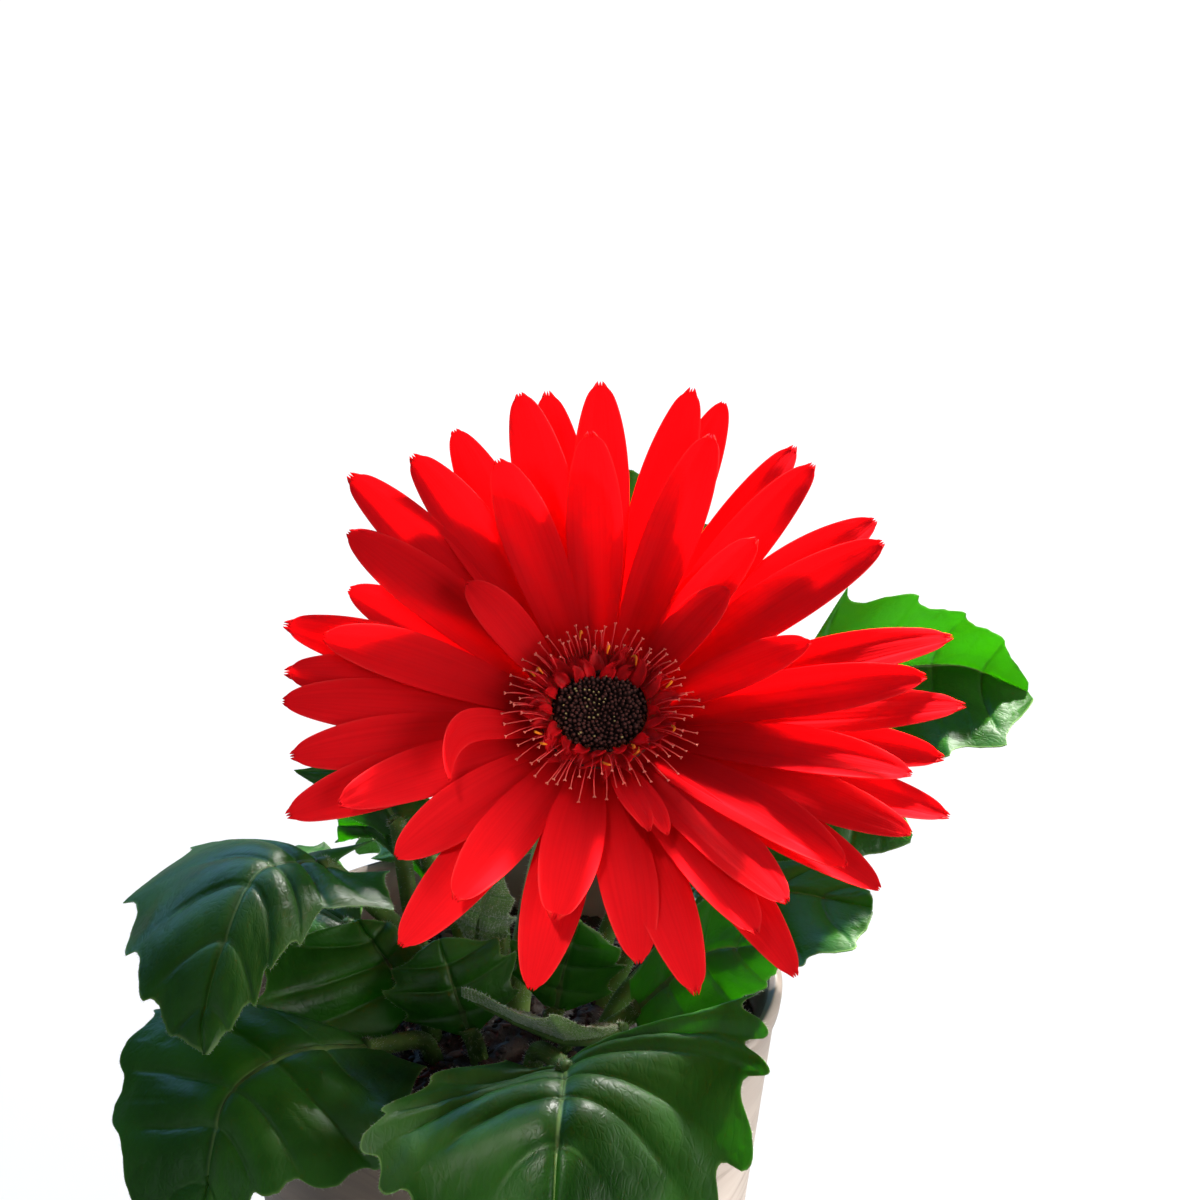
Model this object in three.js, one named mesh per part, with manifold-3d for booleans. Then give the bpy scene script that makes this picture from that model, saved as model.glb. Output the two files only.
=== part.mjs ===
// A gerbera daisy growing in a tapered pot: one red flower head on its stalk, above a
// rosette of toothed leaves that stand in the potting soil.
// Millimetres, +Z up. The origin is the centre of the pot's underside, and -Y is the front,
// the side that the flower faces.
import * as THREE from 'three';
import { mergeVertices } from 'three/addons/utils/BufferGeometryUtils.js';
import Module from 'manifold-3d';

const wasm = await Module();
wasm.setup();

// ---- Driving dimensions ----

const pot = {
  height: 105,
  rimRadius: 57,
  baseRadius: 45,
  wall: 2.4,
  floor: 3.2,
  lipHeight: 5,
  lipOut: 0.9,
  drainHoles: 5,
  drainRadius: 4,
  drainRing: 26,
  drainSides: 10,
  footRounding: 1.5,
  lipRounding: 1.2,
  lipDraft: 0.2,
  mouthBevel: 1,
  floorRounding: 2,
  sides: 36,
};
const fitGap = 0.3;

const soil = {
  edgeHeight: 90,
  domeHeight: 3.5,
  crumb: 0.9,
  chamfer: 2.4,
  rings: 4,
  sides: 24,
};

// The rosette's stems stand in the soil down to this height. Each is straight from there through
// these shares of its way to its first bend.
const rootHeight = 80;
const straightShares = [0.3, 0.6];
const leafStem = { sides: 6, steps: 5 };

const head = {
  centre: new THREE.Vector3(20, -52, 188),
  facing: new THREE.Vector3(0.061, -0.638, 0.767).normalize(),
};

// Heights in the head are along its facing direction, from the plane of the disc.
const plate = { radius: 10.6, bottom: -5, top: -2.8, sides: 24 };
const disc = {
  radius: 8.4,
  top: 0.9,
  dip: 0.6,
  shoulder: 1.6,
  bumps: 150,
  bumpHeight: 0.55,
  bumpRadius: 0.7,
  rings: 9,
  sides: 30,
};
const transRing = { inner: 8.8, outer: 10.4, top: 0.4, sides: 30 };
const ligule = { count: 20, length: 4.2, width: 1.9, lift: 3, dish: 0.2, roll: 20, thickness: 0.6 };
const style = { count: 40, start: 9.7, length: 7.4, width: 0.7, lift: 3.6 };

// Ray florets, in layers from the back of the head to its front. Each petal is [turn, length],
// and one has a third number, how far its outer half bends round. Turns are in degrees,
// clockwise from the top as the head is faced, and a length runs from the head's axis.
const ray = {
  thickness: 0.7,
  root: 7.6,
  leave: 11,
  dish: 0.1,
  dishSpread: 0.16,
  roll: 9,
  rollSpread: 6,
  widthSpread: 0.12,
  bendFrom: 0.42,
  rows: [0.36, 0.64, 0.87, 1],
};
const rayShape = { foot: 0.34, widest: 0.6, tip: 0.12, tipRoundness: 0.6 };
const rayLayers = [
  {
    petals: [[24, 65.5], [39, 64], [104, 61], [114, 64], [297, 49], [337, 60], [355, 63]],
    width: 9.8,
    level: -4.4,
    rise: 9.1,
    arch: 1.5,
  },
  {
    petals: [[4, 63], [19, 64.5], [44, 60.5], [58, 61], [83, 63.5], [97, 63.5], [121, 59],
      [133, 59.5], [152, 61.5], [169, 58], [177, 51], [196, 57], [218, 59.5], [230, 48], [249, 59.5],
      [258, 55.5], [269, 55.5], [276, 55.5], [285, 57], [307, 54], [316, 62], [328, 58], [350, 62]],
    width: 10.2,
    level: -4.1,
    rise: 12.2,
    arch: 1.5,
  },
  {
    petals: [[2, 50.5], [26, 55], [64, 58], [93, 56.5], [111, 55.5], [133, 53], [148, 51], [155, 53],
      [194, 45.5], [215, 48.5], [246, 51], [283, 49.5], [341, 48]],
    width: 10.2,
    level: -3.8,
    rise: 14.3,
    arch: 1.4,
  },
  {
    petals: [[47, 40.5], [52, 30], [81, 37.5], [313, 31]],
    width: 8.2,
    level: -3.5,
    rise: 13.3,
    arch: 1.3,
  },
  { petals: [[258, 32.5, -20]], width: 6, level: -3.4, rise: 13.3, arch: 1.3 },
  { petals: [[162, 30], [169, 28.5]], width: 4.6, level: -3.3, rise: 11.8, arch: 1.3 },
];

const stalk = { radius: 2.7, sides: 8, steps: 10, sink: 11 };
const stalkRoute = [[1, 3, rootHeight], [4, 1, 108], [10, -15, 143], [17, -37, 170]];
const cup = { height: 9, radius: 10.8 };
const bract = {
  rows: 2,
  perRow: 11,
  root: 8.2,
  rowStep: 2.4,
  length: 12.5,
  width: 3.4,
  lift: 3.4,
  thickness: 0.7,
};

// What every leaf shares, unless its own line says otherwise. fold, curl, sweep, heel and
// toothDepth are shares of the blade's half width. A bunch over 1 draws the side veins'
// starts towards the base, and a rightToothDepth is for the right-hand side alone.
const leafHabit = {
  halfWidth: 20,
  face: [0, -0.5, 0.85],
  teeth: 5,
  toothDepth: 0.18,
  bulge: 0.12,
  veinBend: 1.5,
  fold: 0.1,
  curl: 0.2,
  wave: 1.2,
  phase: 0,
  sweep: 0.3,
  heel: 0.3,
  fullness: 0.95,
  roundness: 0.55,
  bunch: 1,
  stem: 2,
};
const leafBlade = {
  thickness: 0.8,
  columns: 4,
  narrowest: 0.9,
  stemOverlap: 0.03,
  foot: 0.8,
  cutSkew: 0.62,
  puff: 0.03,
  puffSkew: 0.8,
  rippleLag: 2.1,
};

// Each route runs from the root through the bend of the stem to the base of the blade, which
// is its third point, and on along the midrib to the tip. Where a leaf has lobes of its own,
// they are the points that its side veins run to, from the base to the tip, on the right-hand
// and the left-hand side of the midrib.
const leaves = [
  {
    name: 'leaf_front',
    route: [[3, -13, rootHeight], [8, -25, 101], [13, -43, 108.5], [13, -57, 111], [12, -70, 106],
      [11, -86, 85]],
    rightLobes: [[2, -40, 108], [-12, -50, 110], [-20, -61, 110], [-22, -69, 106],
      [-16, -74, 102], [-7, -83, 87], [10, -86, 82]],
    leftLobes: [[50, -42, 124], [50.6, -47, 117.5], [51, -53, 112], [46, -64, 100], [39, -74, 91],
      [27, -82, 86], [11, -86, 82]],
    face: [-0.15, -0.5, 0.8],
    faceTip: [-0.1, -0.9, 0.35],
    teeth: 6,
    toothDepth: 0.11,
    bulge: 0.14,
    veinBend: 2.1,
    wave: 1,
    bunch: 2.6,
    rightToothDepth: 0.04,
  },
  {
    name: 'leaf_front_left',
    route: [[-9, -10, rootHeight], [-16, -18, 99], [-24, -27, 103], [-38, -40, 110],
      [-49, -52, 109], [-52, -62, 102], [-53, -74, 87]],
    rightLobes: [[-34, -25, 105], [-52, -26, 113], [-67, -30, 113], [-72, -40, 106],
      [-72, -50, 99], [-65, -64, 89], [-54, -75, 87]],
    leftLobes: [[-14, -31, 101], [-19, -56, 107], [-22, -63, 98], [-35, -66, 99], [-43, -68, 97],
      [-49, -73, 88], [-52, -75, 87]],
    face: [-0.25, -0.45, 0.85],
    faceTip: [-0.5, -0.8, 0.3],
    teeth: 6,
    toothDepth: 0.05,
    bulge: 0.16,
    veinBend: 1.7,
    wave: 1,
  },
  {
    name: 'leaf_left_high',
    route: [[-13, -1, rootHeight], [-20, 1, 112], [-33, -10, 133], [-41, -16, 138],
      [-47, -24, 139], [-51, -37, 133], [-54, -48, 124], [-54, -54, 118]],
    rightLobes: [[-26, 6, 132], [-43, -7, 134], [-64, 6, 130], [-75, -12, 127], [-71, -33, 127],
      [-66, -45, 124], [-60, -51, 120], [-53, -54, 118]],
    leftLobes: [[-22, -8, 132], [-20, -24, 132], [-33, -28, 134], [-37, -37, 132],
      [-42, -43, 129], [-45, -48, 125], [-49, -51, 121], [-53, -54, 118]],
    face: [-0.1, -0.1, 1],
    faceTip: [-0.45, -0.85, 0.3],
    teeth: 7,
    toothDepth: 0.09,
    bulge: 0.05,
    veinBend: 1.9,
    wave: 0.8,
    bunch: 1.5,
  },
  {
    name: 'leaf_left_low',
    route: [[-12, -6, rootHeight], [-15, -8, 97], [-17, -12, 103], [-23, -12, 114], [-29, -8, 121]],
    rightLobes: [[-15, -11, 108], [-15, -10, 115], [-19, -8, 118], [-23, -7, 120], [-28, -8, 121]],
    leftLobes: [[-23, -18, 99], [-40, -24, 104], [-48, -24, 112], [-45, -14, 119], [-30, -9, 121]],
    face: [-0.2, -0.9, 0.5],
    teeth: 4,
    toothDepth: 0.08,
    bulge: 0.15,
    veinBend: 1.5,
    wave: 1,
  },
  {
    name: 'leaf_front_young',
    route: [[6, -8, rootHeight], [15, -15, 98], [24, -25, 106], [13, -32, 108], [-7, -27, 115]],
    rightLobes: [[24, -24, 106], [18, -26, 107], [10, -25, 107], [1, -23, 109], [-7, -26, 115]],
    leftLobes: [[24, -26, 107], [18, -33, 112], [10, -37, 115], [2, -34, 117], [-7, -28, 117]],
    face: [0, 0.5, 0.8],
    teeth: 4,
    stem: 1.4,
    young: true,
  },
  {
    name: 'leaf_centre_young',
    route: [[-6, -5, rootHeight], [-7, -7, 99], [-5, -8, 115], [-4, -11, 124], [-1, -13, 135]],
    face: [-0.2, -0.9, 0.3],
    halfWidth: 6.5,
    teeth: 4,
    stem: 1.4,
    young: true,
  },
  {
    name: 'leaf_centre_low',
    route: [[-3, -11, rootHeight], [-5, -17, 97], [-6, -20, 102], [-9, -20, 112],
      [-12, -16, 121]],
    face: [-0.1, -0.9, 0.4],
    halfWidth: 13,
    teeth: 4,
  },
  {
    name: 'leaf_centre_right',
    route: [[7, -1, rootHeight], [10, -7, 97], [11, -11, 102], [13, -14, 114], [16, -18, 126]],
    face: [0, -0.9, 0.35],
    halfWidth: 11,
    teeth: 4,
  },
  {
    name: 'leaf_front_right',
    route: [[13, -9, rootHeight], [20, -13, 97], [27, -17, 105], [40, -24, 122], [52, -34, 130]],
    rightLobes: [[28, -22, 103], [38, -28, 109], [47, -34, 116], [52, -37, 123], [54, -37, 128]],
    leftLobes: [[26, -13, 110], [35, -13, 124], [43, -18, 131], [50, -26, 134], [54, -36, 129]],
    face: [0.2, -0.5, 0.85],
    teeth: 4,
    toothDepth: 0.08,
    bulge: 0.14,
    veinBend: 1.5,
    wave: 1,
  },
  {
    name: 'leaf_right_low',
    route: [[14, -3, rootHeight], [26, -3, 102], [38, -4, 116], [55, -6, 126], [74, -14, 127]],
    rightLobes: [[43, -14, 116], [52, -26, 121], [60, -27, 122], [70, -26, 125], [74, -16, 127]],
    leftLobes: [[40, 0, 122], [53, 2, 130], [66, -2, 130], [73, -8, 129], [74, -14, 129]],
    face: [0.1, -0.6, 0.75],
    teeth: 4,
    toothDepth: 0.08,
    bulge: 0.14,
    veinBend: 1.5,
    wave: 1,
  },
  {
    name: 'leaf_right_mid',
    route: [[14, 3, rootHeight], [28, 7, 109], [38, 10, 124], [62, 12, 138], [84, 8, 131]],
    face: [0.1, -0.6, 0.75],
    halfWidth: 14,
    teeth: 4,
  },
  {
    name: 'leaf_right_high',
    route: [[9, 10, rootHeight], [27, 20, 113], [49, 26, 129], [73, 34, 153], [94, 36, 158],
      [110, 31, 154]],
    rightLobes: [[60, 24, 125], [73, 24, 131], [82, 20, 140], [91, 8, 150], [103, 11, 151],
      [111, 29, 153]],
    leftLobes: [[51, 30, 143], [72, 38, 175], [87, 37, 173], [97, 36, 170], [105, 34, 164],
      [110, 31, 156]],
    face: [0.1, -0.7, 0.65],
    teeth: 5,
    toothDepth: 0.1,
    bulge: 0.06,
    veinBend: 1.5,
    wave: 1.2,
  },
  {
    name: 'leaf_back_left',
    route: [[-7, 12, rootHeight], [-10, 20, 104], [-16, 25, 116], [-26, 34, 120], [-37, 38, 119]],
    rightLobes: [[-16, 26, 119], [-19, 34, 127], [-27, 38, 128], [-34, 39, 125], [-37, 38, 120]],
    leftLobes: [[-16, 24, 113], [-18, 26, 112], [-24, 30, 115], [-29, 34, 118], [-37, 38, 115]],
    face: [-0.1, -0.7, 0.7],
    teeth: 4,
  },
  {
    name: 'leaf_back_left_high',
    route: [[-11, 8, rootHeight], [-19, 11, 109], [-22, 17, 128], [-29, 28, 138], [-28, 34, 151]],
    rightLobes: [[-19, 18, 128], [-15, 23, 132], [-14, 27, 138], [-18, 31, 146], [-28, 34, 151]],
    leftLobes: [[-25, 18, 126], [-34, 24, 129], [-45, 30, 136], [-35, 31, 137], [-29, 34, 151]],
    face: [-0.1, -0.6, 0.75],
    teeth: 4,
  },
  {
    name: 'leaf_back',
    route: [[-2, 14, rootHeight], [-4, 27, 98], [-6, 38, 107], [-12, 67, 110], [-19, 90, 82]],
    face: [-0.05, 0.2, 0.95],
    faceTip: [-0.2, 0.9, 0.4],
    halfWidth: 28,
  },
  {
    name: 'leaf_back_right',
    route: [[4, 14, rootHeight], [11, 27, 103], [17, 36, 122], [23, 44, 160], [26, 49, 197]],
    face: [0.1, -0.9, 0.4],
    faceTip: [0.1, -0.8, 0.6],
    halfWidth: 27,
  },
  {
    name: 'leaf_back_high',
    route: [[-1, 9, rootHeight], [-1, 19, 101], [-3, 27, 120], [-7, 38, 156], [-9, 45, 194]],
    face: [-0.1, -0.9, 0.4],
    halfWidth: 21,
    teeth: 4,
  },
  {
    name: 'leaf_left_back',
    route: [[-15, 4, rootHeight], [-24, 9, 97], [-32, 14, 106], [-54, 28, 110], [-71, 38, 96]],
    face: [-0.25, 0.15, 0.95],
    faceTip: [-0.7, 0.3, 0.6],
    halfWidth: 23,
  },
  {
    name: 'leaf_right_back',
    route: [[13, 8, rootHeight], [24, 16, 97], [32, 22, 105], [52, 34, 112], [68, 42, 101]],
    face: [0.15, 0.1, 0.95],
    faceTip: [0.6, 0.3, 0.6],
    halfWidth: 21,
  },
];

// ---- Solids ----

// A closed three.js geometry as a solid that can be joined and cut.
function solidOf(geometry) {
  const bare = geometry.clone();
  bare.deleteAttribute('normal');
  bare.deleteAttribute('uv');
  const merged = mergeVertices(bare, 1e-4);
  return new wasm.Manifold(new wasm.Mesh({
    numProp: 3,
    vertProperties: new Float32Array(merged.attributes.position.array),
    triVerts: new Uint32Array(merged.index.array),
  }));
}

function join(solids) {
  return solids.reduce((whole, next) => whole.add(next));
}

// The solid's biggest shell as a geometry. Pockets that joining has sealed are filled, and
// loose scraps are dropped.
function geometryOf(solid) {
  const mesh = solid.getMesh();
  const parent = Array.from({ length: mesh.vertProperties.length / mesh.numProp }, (_, i) => i);
  const find = (i) => {
    while (parent[i] !== i) {
      parent[i] = parent[parent[i]];
      i = parent[i];
    }
    return i;
  };
  for (let k = 0; k < mesh.mergeFromVert?.length; k += 1) {
    parent[find(mesh.mergeFromVert[k])] = find(mesh.mergeToVert[k]);
  }
  for (let k = 0; k < mesh.triVerts.length; k += 3) {
    parent[find(mesh.triVerts[k + 1])] = find(mesh.triVerts[k]);
    parent[find(mesh.triVerts[k + 2])] = find(mesh.triVerts[k]);
  }
  const corner = (i) => new THREE.Vector3().fromArray(mesh.vertProperties, i * mesh.numProp);
  const volumes = new Map();
  for (let k = 0; k < mesh.triVerts.length; k += 3) {
    const [a, b, c] = [0, 1, 2].map((n) => corner(mesh.triVerts[k + n]));
    const shell = find(mesh.triVerts[k]);
    volumes.set(shell, (volumes.get(shell) ?? 0) + a.dot(b.cross(c)) / 6);
  }
  const biggest = [...volumes].sort((a, b) => b[1] - a[1])[0][0];
  const kept = [];
  for (let k = 0; k < mesh.triVerts.length; k += 3) {
    if (find(mesh.triVerts[k]) === biggest) {
      kept.push(mesh.triVerts[k], mesh.triVerts[k + 1], mesh.triVerts[k + 2]);
    }
  }
  const geometry = new THREE.BufferGeometry();
  geometry.setAttribute('position', new THREE.BufferAttribute(mesh.vertProperties, 3));
  geometry.setIndex(kept);
  const flat = geometry.toNonIndexed();
  flat.computeVertexNormals();
  return flat;
}

// Repeatable random numbers from 0 to 1.
function randomFrom(seed) {
  let state = seed;
  return () => {
    state = (state * 1664525 + 1013904223) % 4294967296;
    return state / 4294967296;
  };
}

// A thin closed blade. place(along, across) gives its middle surface, along from 0 to 1 and
// across from -1 to 1. Both faces are split into triangles alike.
function bladeGeometry(place, alongs, columns, thickness) {
  const points = [];
  const rows = alongs.length;
  const wide = columns + 1;
  for (const side of [1, -1]) {
    for (const along of alongs) {
      for (let j = 0; j < wide; j += 1) {
        const { point, normal } = place(along, (2 * j) / columns - 1);
        points.push(point.clone().addScaledVector(normal, (side * thickness) / 2));
      }
    }
  }
  const top = (i, j) => i * wide + j;
  const bottom = (i, j) => rows * wide + i * wide + j;
  const index = [];
  const quad = (a, b, c, d) => index.push(a, b, c, a, c, d);
  for (let i = 0; i + 1 < rows; i += 1) {
    for (let j = 0; j < columns; j += 1) {
      quad(top(i, j), top(i, j + 1), top(i + 1, j + 1), top(i + 1, j));
      index.push(bottom(i, j), bottom(i + 1, j + 1), bottom(i, j + 1));
      index.push(bottom(i, j), bottom(i + 1, j), bottom(i + 1, j + 1));
    }
    quad(bottom(i, 0), top(i, 0), top(i + 1, 0), bottom(i + 1, 0));
    quad(top(i, columns), bottom(i, columns), bottom(i + 1, columns), top(i + 1, columns));
  }
  const last = rows - 1;
  for (let j = 0; j < columns; j += 1) {
    quad(bottom(0, j), bottom(0, j + 1), top(0, j + 1), top(0, j));
    quad(top(last, j), top(last, j + 1), bottom(last, j + 1), bottom(last, j));
  }
  const geometry = new THREE.BufferGeometry().setFromPoints(points);
  geometry.setIndex(index);
  return geometry;
}

// A closed mound: a top of staggered rings, and skirt rings of [radius, height] below it.
function moundGeometry({ radius, rings, sides, height, skirts }) {
  const points = [new THREE.Vector3(0, 0, height(0, 0))];
  const addRing = (ringRadius, stagger, level) => {
    for (let j = 0; j < sides; j += 1) {
      const turn = (2 * Math.PI * (j + stagger / 2)) / sides;
      const x = ringRadius * Math.cos(turn);
      const y = ringRadius * Math.sin(turn);
      points.push(new THREE.Vector3(x, y, level ?? height(x, y)));
    }
  };
  for (let i = 1; i <= rings; i += 1) {
    addRing((radius * i) / rings, i);
  }
  for (const [skirtRadius, level] of skirts) {
    addRing(skirtRadius, rings, level);
  }
  points.push(new THREE.Vector3(0, 0, skirts.at(-1)[1]));
  const bands = rings + skirts.length;
  const at = (band, j) => 1 + (band - 1) * sides + (j % sides);
  const index = [];
  for (let j = 0; j < sides; j += 1) {
    index.push(0, at(1, j), at(1, j + 1));
    index.push(points.length - 1, at(bands, j + 1), at(bands, j));
    for (let band = 1; band < bands; band += 1) {
      index.push(at(band, j), at(band + 1, j), at(band, j + 1));
      index.push(at(band + 1, j), at(band + 1, j + 1), at(band, j + 1));
    }
  }
  const geometry = new THREE.BufferGeometry().setFromPoints(points);
  geometry.setIndex(index);
  return geometry;
}

// A round rod of even thickness along a curve.
function rodGeometry(curve, radius, sides, steps) {
  const section = new THREE.Shape();
  section.absarc(0, 0, radius, 0, 2 * Math.PI);
  return new THREE.ExtrudeGeometry(section, {
    steps,
    curveSegments: sides / 2,
    bevelEnabled: false,
    extrudePath: curve,
  });
}

function routeCurve(route) {
  const points = route.map((p) => new THREE.Vector3(...p));
  return new THREE.CatmullRomCurve3(points, false, 'catmullrom', 0.5);
}

// ---- Pot ----

// The pot's outer radius at a height.
function potRadius(z) {
  return pot.baseRadius + ((pot.rimRadius - pot.baseRadius) * z) / pot.height;
}

function potGeometry() {
  const lipFoot = pot.height - pot.lipHeight;
  const lipRadius = potRadius(pot.height) + pot.lipOut;
  const profile = [
    [0, 0],
    [potRadius(0) - pot.footRounding, 0],
    [potRadius(pot.footRounding), pot.footRounding],
    [potRadius(lipFoot), lipFoot],
    [potRadius(lipFoot) + pot.lipOut, lipFoot + pot.lipOut],
    [lipRadius - pot.lipDraft, pot.height - pot.lipRounding],
    [lipRadius - (pot.wall + pot.lipOut) / 2, pot.height],
    [potRadius(pot.height) - pot.wall + pot.lipDraft, pot.height - pot.mouthBevel],
    [potRadius(pot.floor + pot.floorRounding) - pot.wall, pot.floor + pot.floorRounding],
    [potRadius(pot.floor) - pot.wall - pot.floorRounding, pot.floor],
    [0, pot.floor],
  ].map(([r, z]) => new THREE.Vector2(r, z));
  const body = new THREE.LatheGeometry(profile, pot.sides);
  body.rotateX(Math.PI / 2);
  let solid = solidOf(body);
  for (let k = 0; k < pot.drainHoles; k += 1) {
    const turn = (2 * Math.PI * k) / pot.drainHoles;
    const { drainRadius, drainSides } = pot;
    const hole = new THREE.CylinderGeometry(drainRadius, drainRadius, 4 * pot.floor, drainSides);
    hole.rotateX(Math.PI / 2);
    hole.translate(pot.drainRing * Math.cos(turn), pot.drainRing * Math.sin(turn), 0);
    solid = solid.subtract(solidOf(hole));
  }
  return geometryOf(solid);
}

// ---- Soil ----

function soilHeight(x, y) {
  const radius = Math.hypot(x, y);
  const share = radius / pot.rimRadius;
  const lumps = Math.sin(0.31 * x + 1.7) * Math.sin(0.37 * y - 0.4) + Math.sin(0.83 * x - 0.55 * y);
  return soil.edgeHeight + soil.domeHeight * (1 - share * share) + soil.crumb * lumps;
}

function soilGeometry(stems) {
  // The facets of the pot's wall come nearer to the axis than its corners.
  const flatShare = Math.cos(Math.PI / pot.sides);
  const inside = (z) => (potRadius(z) - pot.wall - fitGap) * flatShare - fitGap / 3;
  const foot = pot.floor + fitGap;
  let solid = solidOf(moundGeometry({
    radius: inside(soil.edgeHeight - 2 * soil.crumb),
    rings: soil.rings,
    sides: soil.sides,
    height: soilHeight,
    skirts: [
      [inside(foot + soil.chamfer), foot + soil.chamfer],
      [inside(foot) - soil.chamfer, foot],
    ],
  }));
  for (const stem of stems) {
    solid = solid.subtract(solidOf(stemHole(stem)));
  }
  return geometryOf(solid);
}

// The plain hole that a stem stands in: its straight foot, a little wider.
function stemHole({ foot, bend, radius, sides }) {
  const lean = bend.clone().sub(foot).normalize();
  const start = foot.clone().addScaledVector(lean, -2 * fitGap);
  const clear = (soil.edgeHeight + soil.domeHeight + 3 * soil.crumb - foot.z) / lean.z;
  const path = new THREE.LineCurve3(start, foot.clone().addScaledVector(lean, clear));
  return rodGeometry(path, radius + 2 * fitGap, sides, 1);
}

// A stem's path. It is straight from its foot through the soil and most of the way to its
// first bend.
function stemPath(route, sides, radius) {
  const [foot, bend, ...rest] = route.map((p) => new THREE.Vector3(...p));
  const straight = straightShares.map((share) => foot.clone().lerp(bend, share));
  const points = [foot, ...straight, bend, ...rest];
  return {
    curve: new THREE.CatmullRomCurve3(points, false, 'catmullrom', 0.5),
    foot,
    bend,
    radius,
    sides,
  };
}

// ---- Leaves ----

// The share of a leaf's route at which its blade starts.
function baseShare(leaf) {
  return 2 / (leaf.route.length - 1);
}

// A leaf's stem, which runs a little way into the blade.
function stemOf(leaf) {
  const sunk = routeCurve(leaf.route).getPoint(baseShare(leaf) + leafBlade.stemOverlap).toArray();
  return stemPath([...leaf.route.slice(0, 3), sunk], leafStem.sides, leaf.stem);
}

// The place of a leaf's midrib and the directions of its blade there.
function midribOf(leaf) {
  const curve = routeCurve(leaf.route);
  const base = baseShare(leaf);
  const step = 0.002;
  const faceBase = new THREE.Vector3(...leaf.face).normalize();
  const faceTip = new THREE.Vector3(...(leaf.faceTip ?? leaf.face)).normalize();
  const at = (along) => curve.getPoint(base + (1 - base) * along ** leaf.bunch);
  return (along) => {
    const ahead = at(Math.min(along + step, 1));
    const forward = ahead.sub(at(Math.max(along - step, 0))).normalize();
    const face = faceBase.clone().lerp(faceTip, along).normalize();
    const side = forward.clone().cross(face).normalize();
    return { place: at(along), forward, side, normal: side.clone().cross(forward) };
  };
}

// The points that the side veins of one half of a blade run to.
function lobesOf(leaf, midrib, hand) {
  const own = hand > 0 ? leaf.rightLobes : leaf.leftLobes;
  if (own) {
    return own.map((p) => new THREE.Vector3(...p));
  }
  return Array.from({ length: leaf.teeth + 1 }, (_, k) => {
    const along = k / leaf.teeth;
    const { place, forward, side, normal } = midrib(along);
    const body = Math.max(Math.sin(Math.PI * along ** leaf.fullness), 0) ** leaf.roundness;
    const width = leaf.stem * leafBlade.foot * (1 - along) + leaf.halfWidth * body;
    const lead = leaf.sweep * Math.sin(Math.PI * along) - leaf.heel * (1 - along) ** 3;
    return place
      .addScaledVector(side, hand * Math.max(width, leafBlade.narrowest))
      .addScaledVector(forward, lead * width)
      .addScaledVector(normal, (leaf.fold - leaf.curl) * width);
  });
}

// The middle surface of a leaf's blade. The side veins end in teeth, the margin cuts in
// behind each tooth, and the blade swells a little between the veins.
function leafPlace(leaf) {
  const midrib = midribOf(leaf);
  const right = lobesOf(leaf, midrib, 1);
  const left = lobesOf(leaf, midrib, -1);
  return (along, across) => {
    const { place, side, normal } = midrib(along);
    const lobes = across > 0 ? right : left;
    const first = Math.min(Math.floor(along * leaf.teeth + 1e-9), leaf.teeth - 1);
    const past = along * leaf.teeth - first;
    const offset = lobes[first].clone().lerp(lobes[first + 1], past).sub(place);
    const aside = offset.dot(side);
    const rest = offset.addScaledVector(side, -aside);
    const ownDepth = across > 0 ? leaf.rightToothDepth : undefined;
    const toothDepth = ownDepth ?? leaf.toothDepth;
    const cut = toothDepth * Math.sin(Math.PI * Math.max(past, 0) ** leafBlade.cutSkew);
    const swell = leaf.bulge * past * Math.sin(Math.PI * past);
    const out = Math.abs(across);
    const reach = out * (1 - cut + swell);
    const veins = Math.PI * leaf.teeth * along;
    const turn = leaf.phase + (across > 0 ? 0 : leafBlade.rippleLag);
    const ripple = leaf.wave * out ** 2 * Math.sin(Math.PI * along) * Math.sin(veins + turn);
    const crown = Math.sin(Math.PI * out ** leafBlade.puffSkew);
    const puff = leafBlade.puff * Math.abs(aside * Math.sin(veins)) * crown;
    const point = place
      .addScaledVector(side, aside * reach)
      .addScaledVector(rest, reach ** leaf.veinBend)
      .addScaledVector(normal, ripple + puff);
    return { point, normal };
  };
}

function leafGeometry(leaf) {
  const rows = 2 * leaf.teeth;
  const alongs = Array.from({ length: rows + 1 }, (_, i) => i / rows);
  const blade = bladeGeometry(leafPlace(leaf), alongs, leafBlade.columns, leafBlade.thickness);
  const stem = stemOf(leaf);
  const rod = rodGeometry(stem.curve, stem.radius, stem.sides, leafStem.steps);
  return geometryOf(solidOf(blade).add(solidOf(rod)));
}

// ---- Flower head ----

const headAcross = new THREE.Vector3(0, 0, 1).cross(head.facing).normalize();
const headUp = head.facing.clone().cross(headAcross);

// The point of the head at a radius, a turn in degrees and a height over the disc's plane.
function headPoint(radius, turn, height) {
  const angle = THREE.MathUtils.degToRad(turn);
  return head.centre.clone()
    .addScaledVector(headAcross, radius * Math.sin(angle))
    .addScaledVector(headUp, radius * Math.cos(angle))
    .addScaledVector(head.facing, height);
}

// A lathed ring or cap in the head, from [radius, height] pairs.
function headLathe(profile, sides) {
  const geometry = new THREE.LatheGeometry(profile.map(([r, h]) => new THREE.Vector2(r, h)), sides);
  const basis = new THREE.Matrix4().makeBasis(headUp, head.facing, headAcross);
  return geometry.applyMatrix4(basis.setPosition(head.centre));
}

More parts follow.
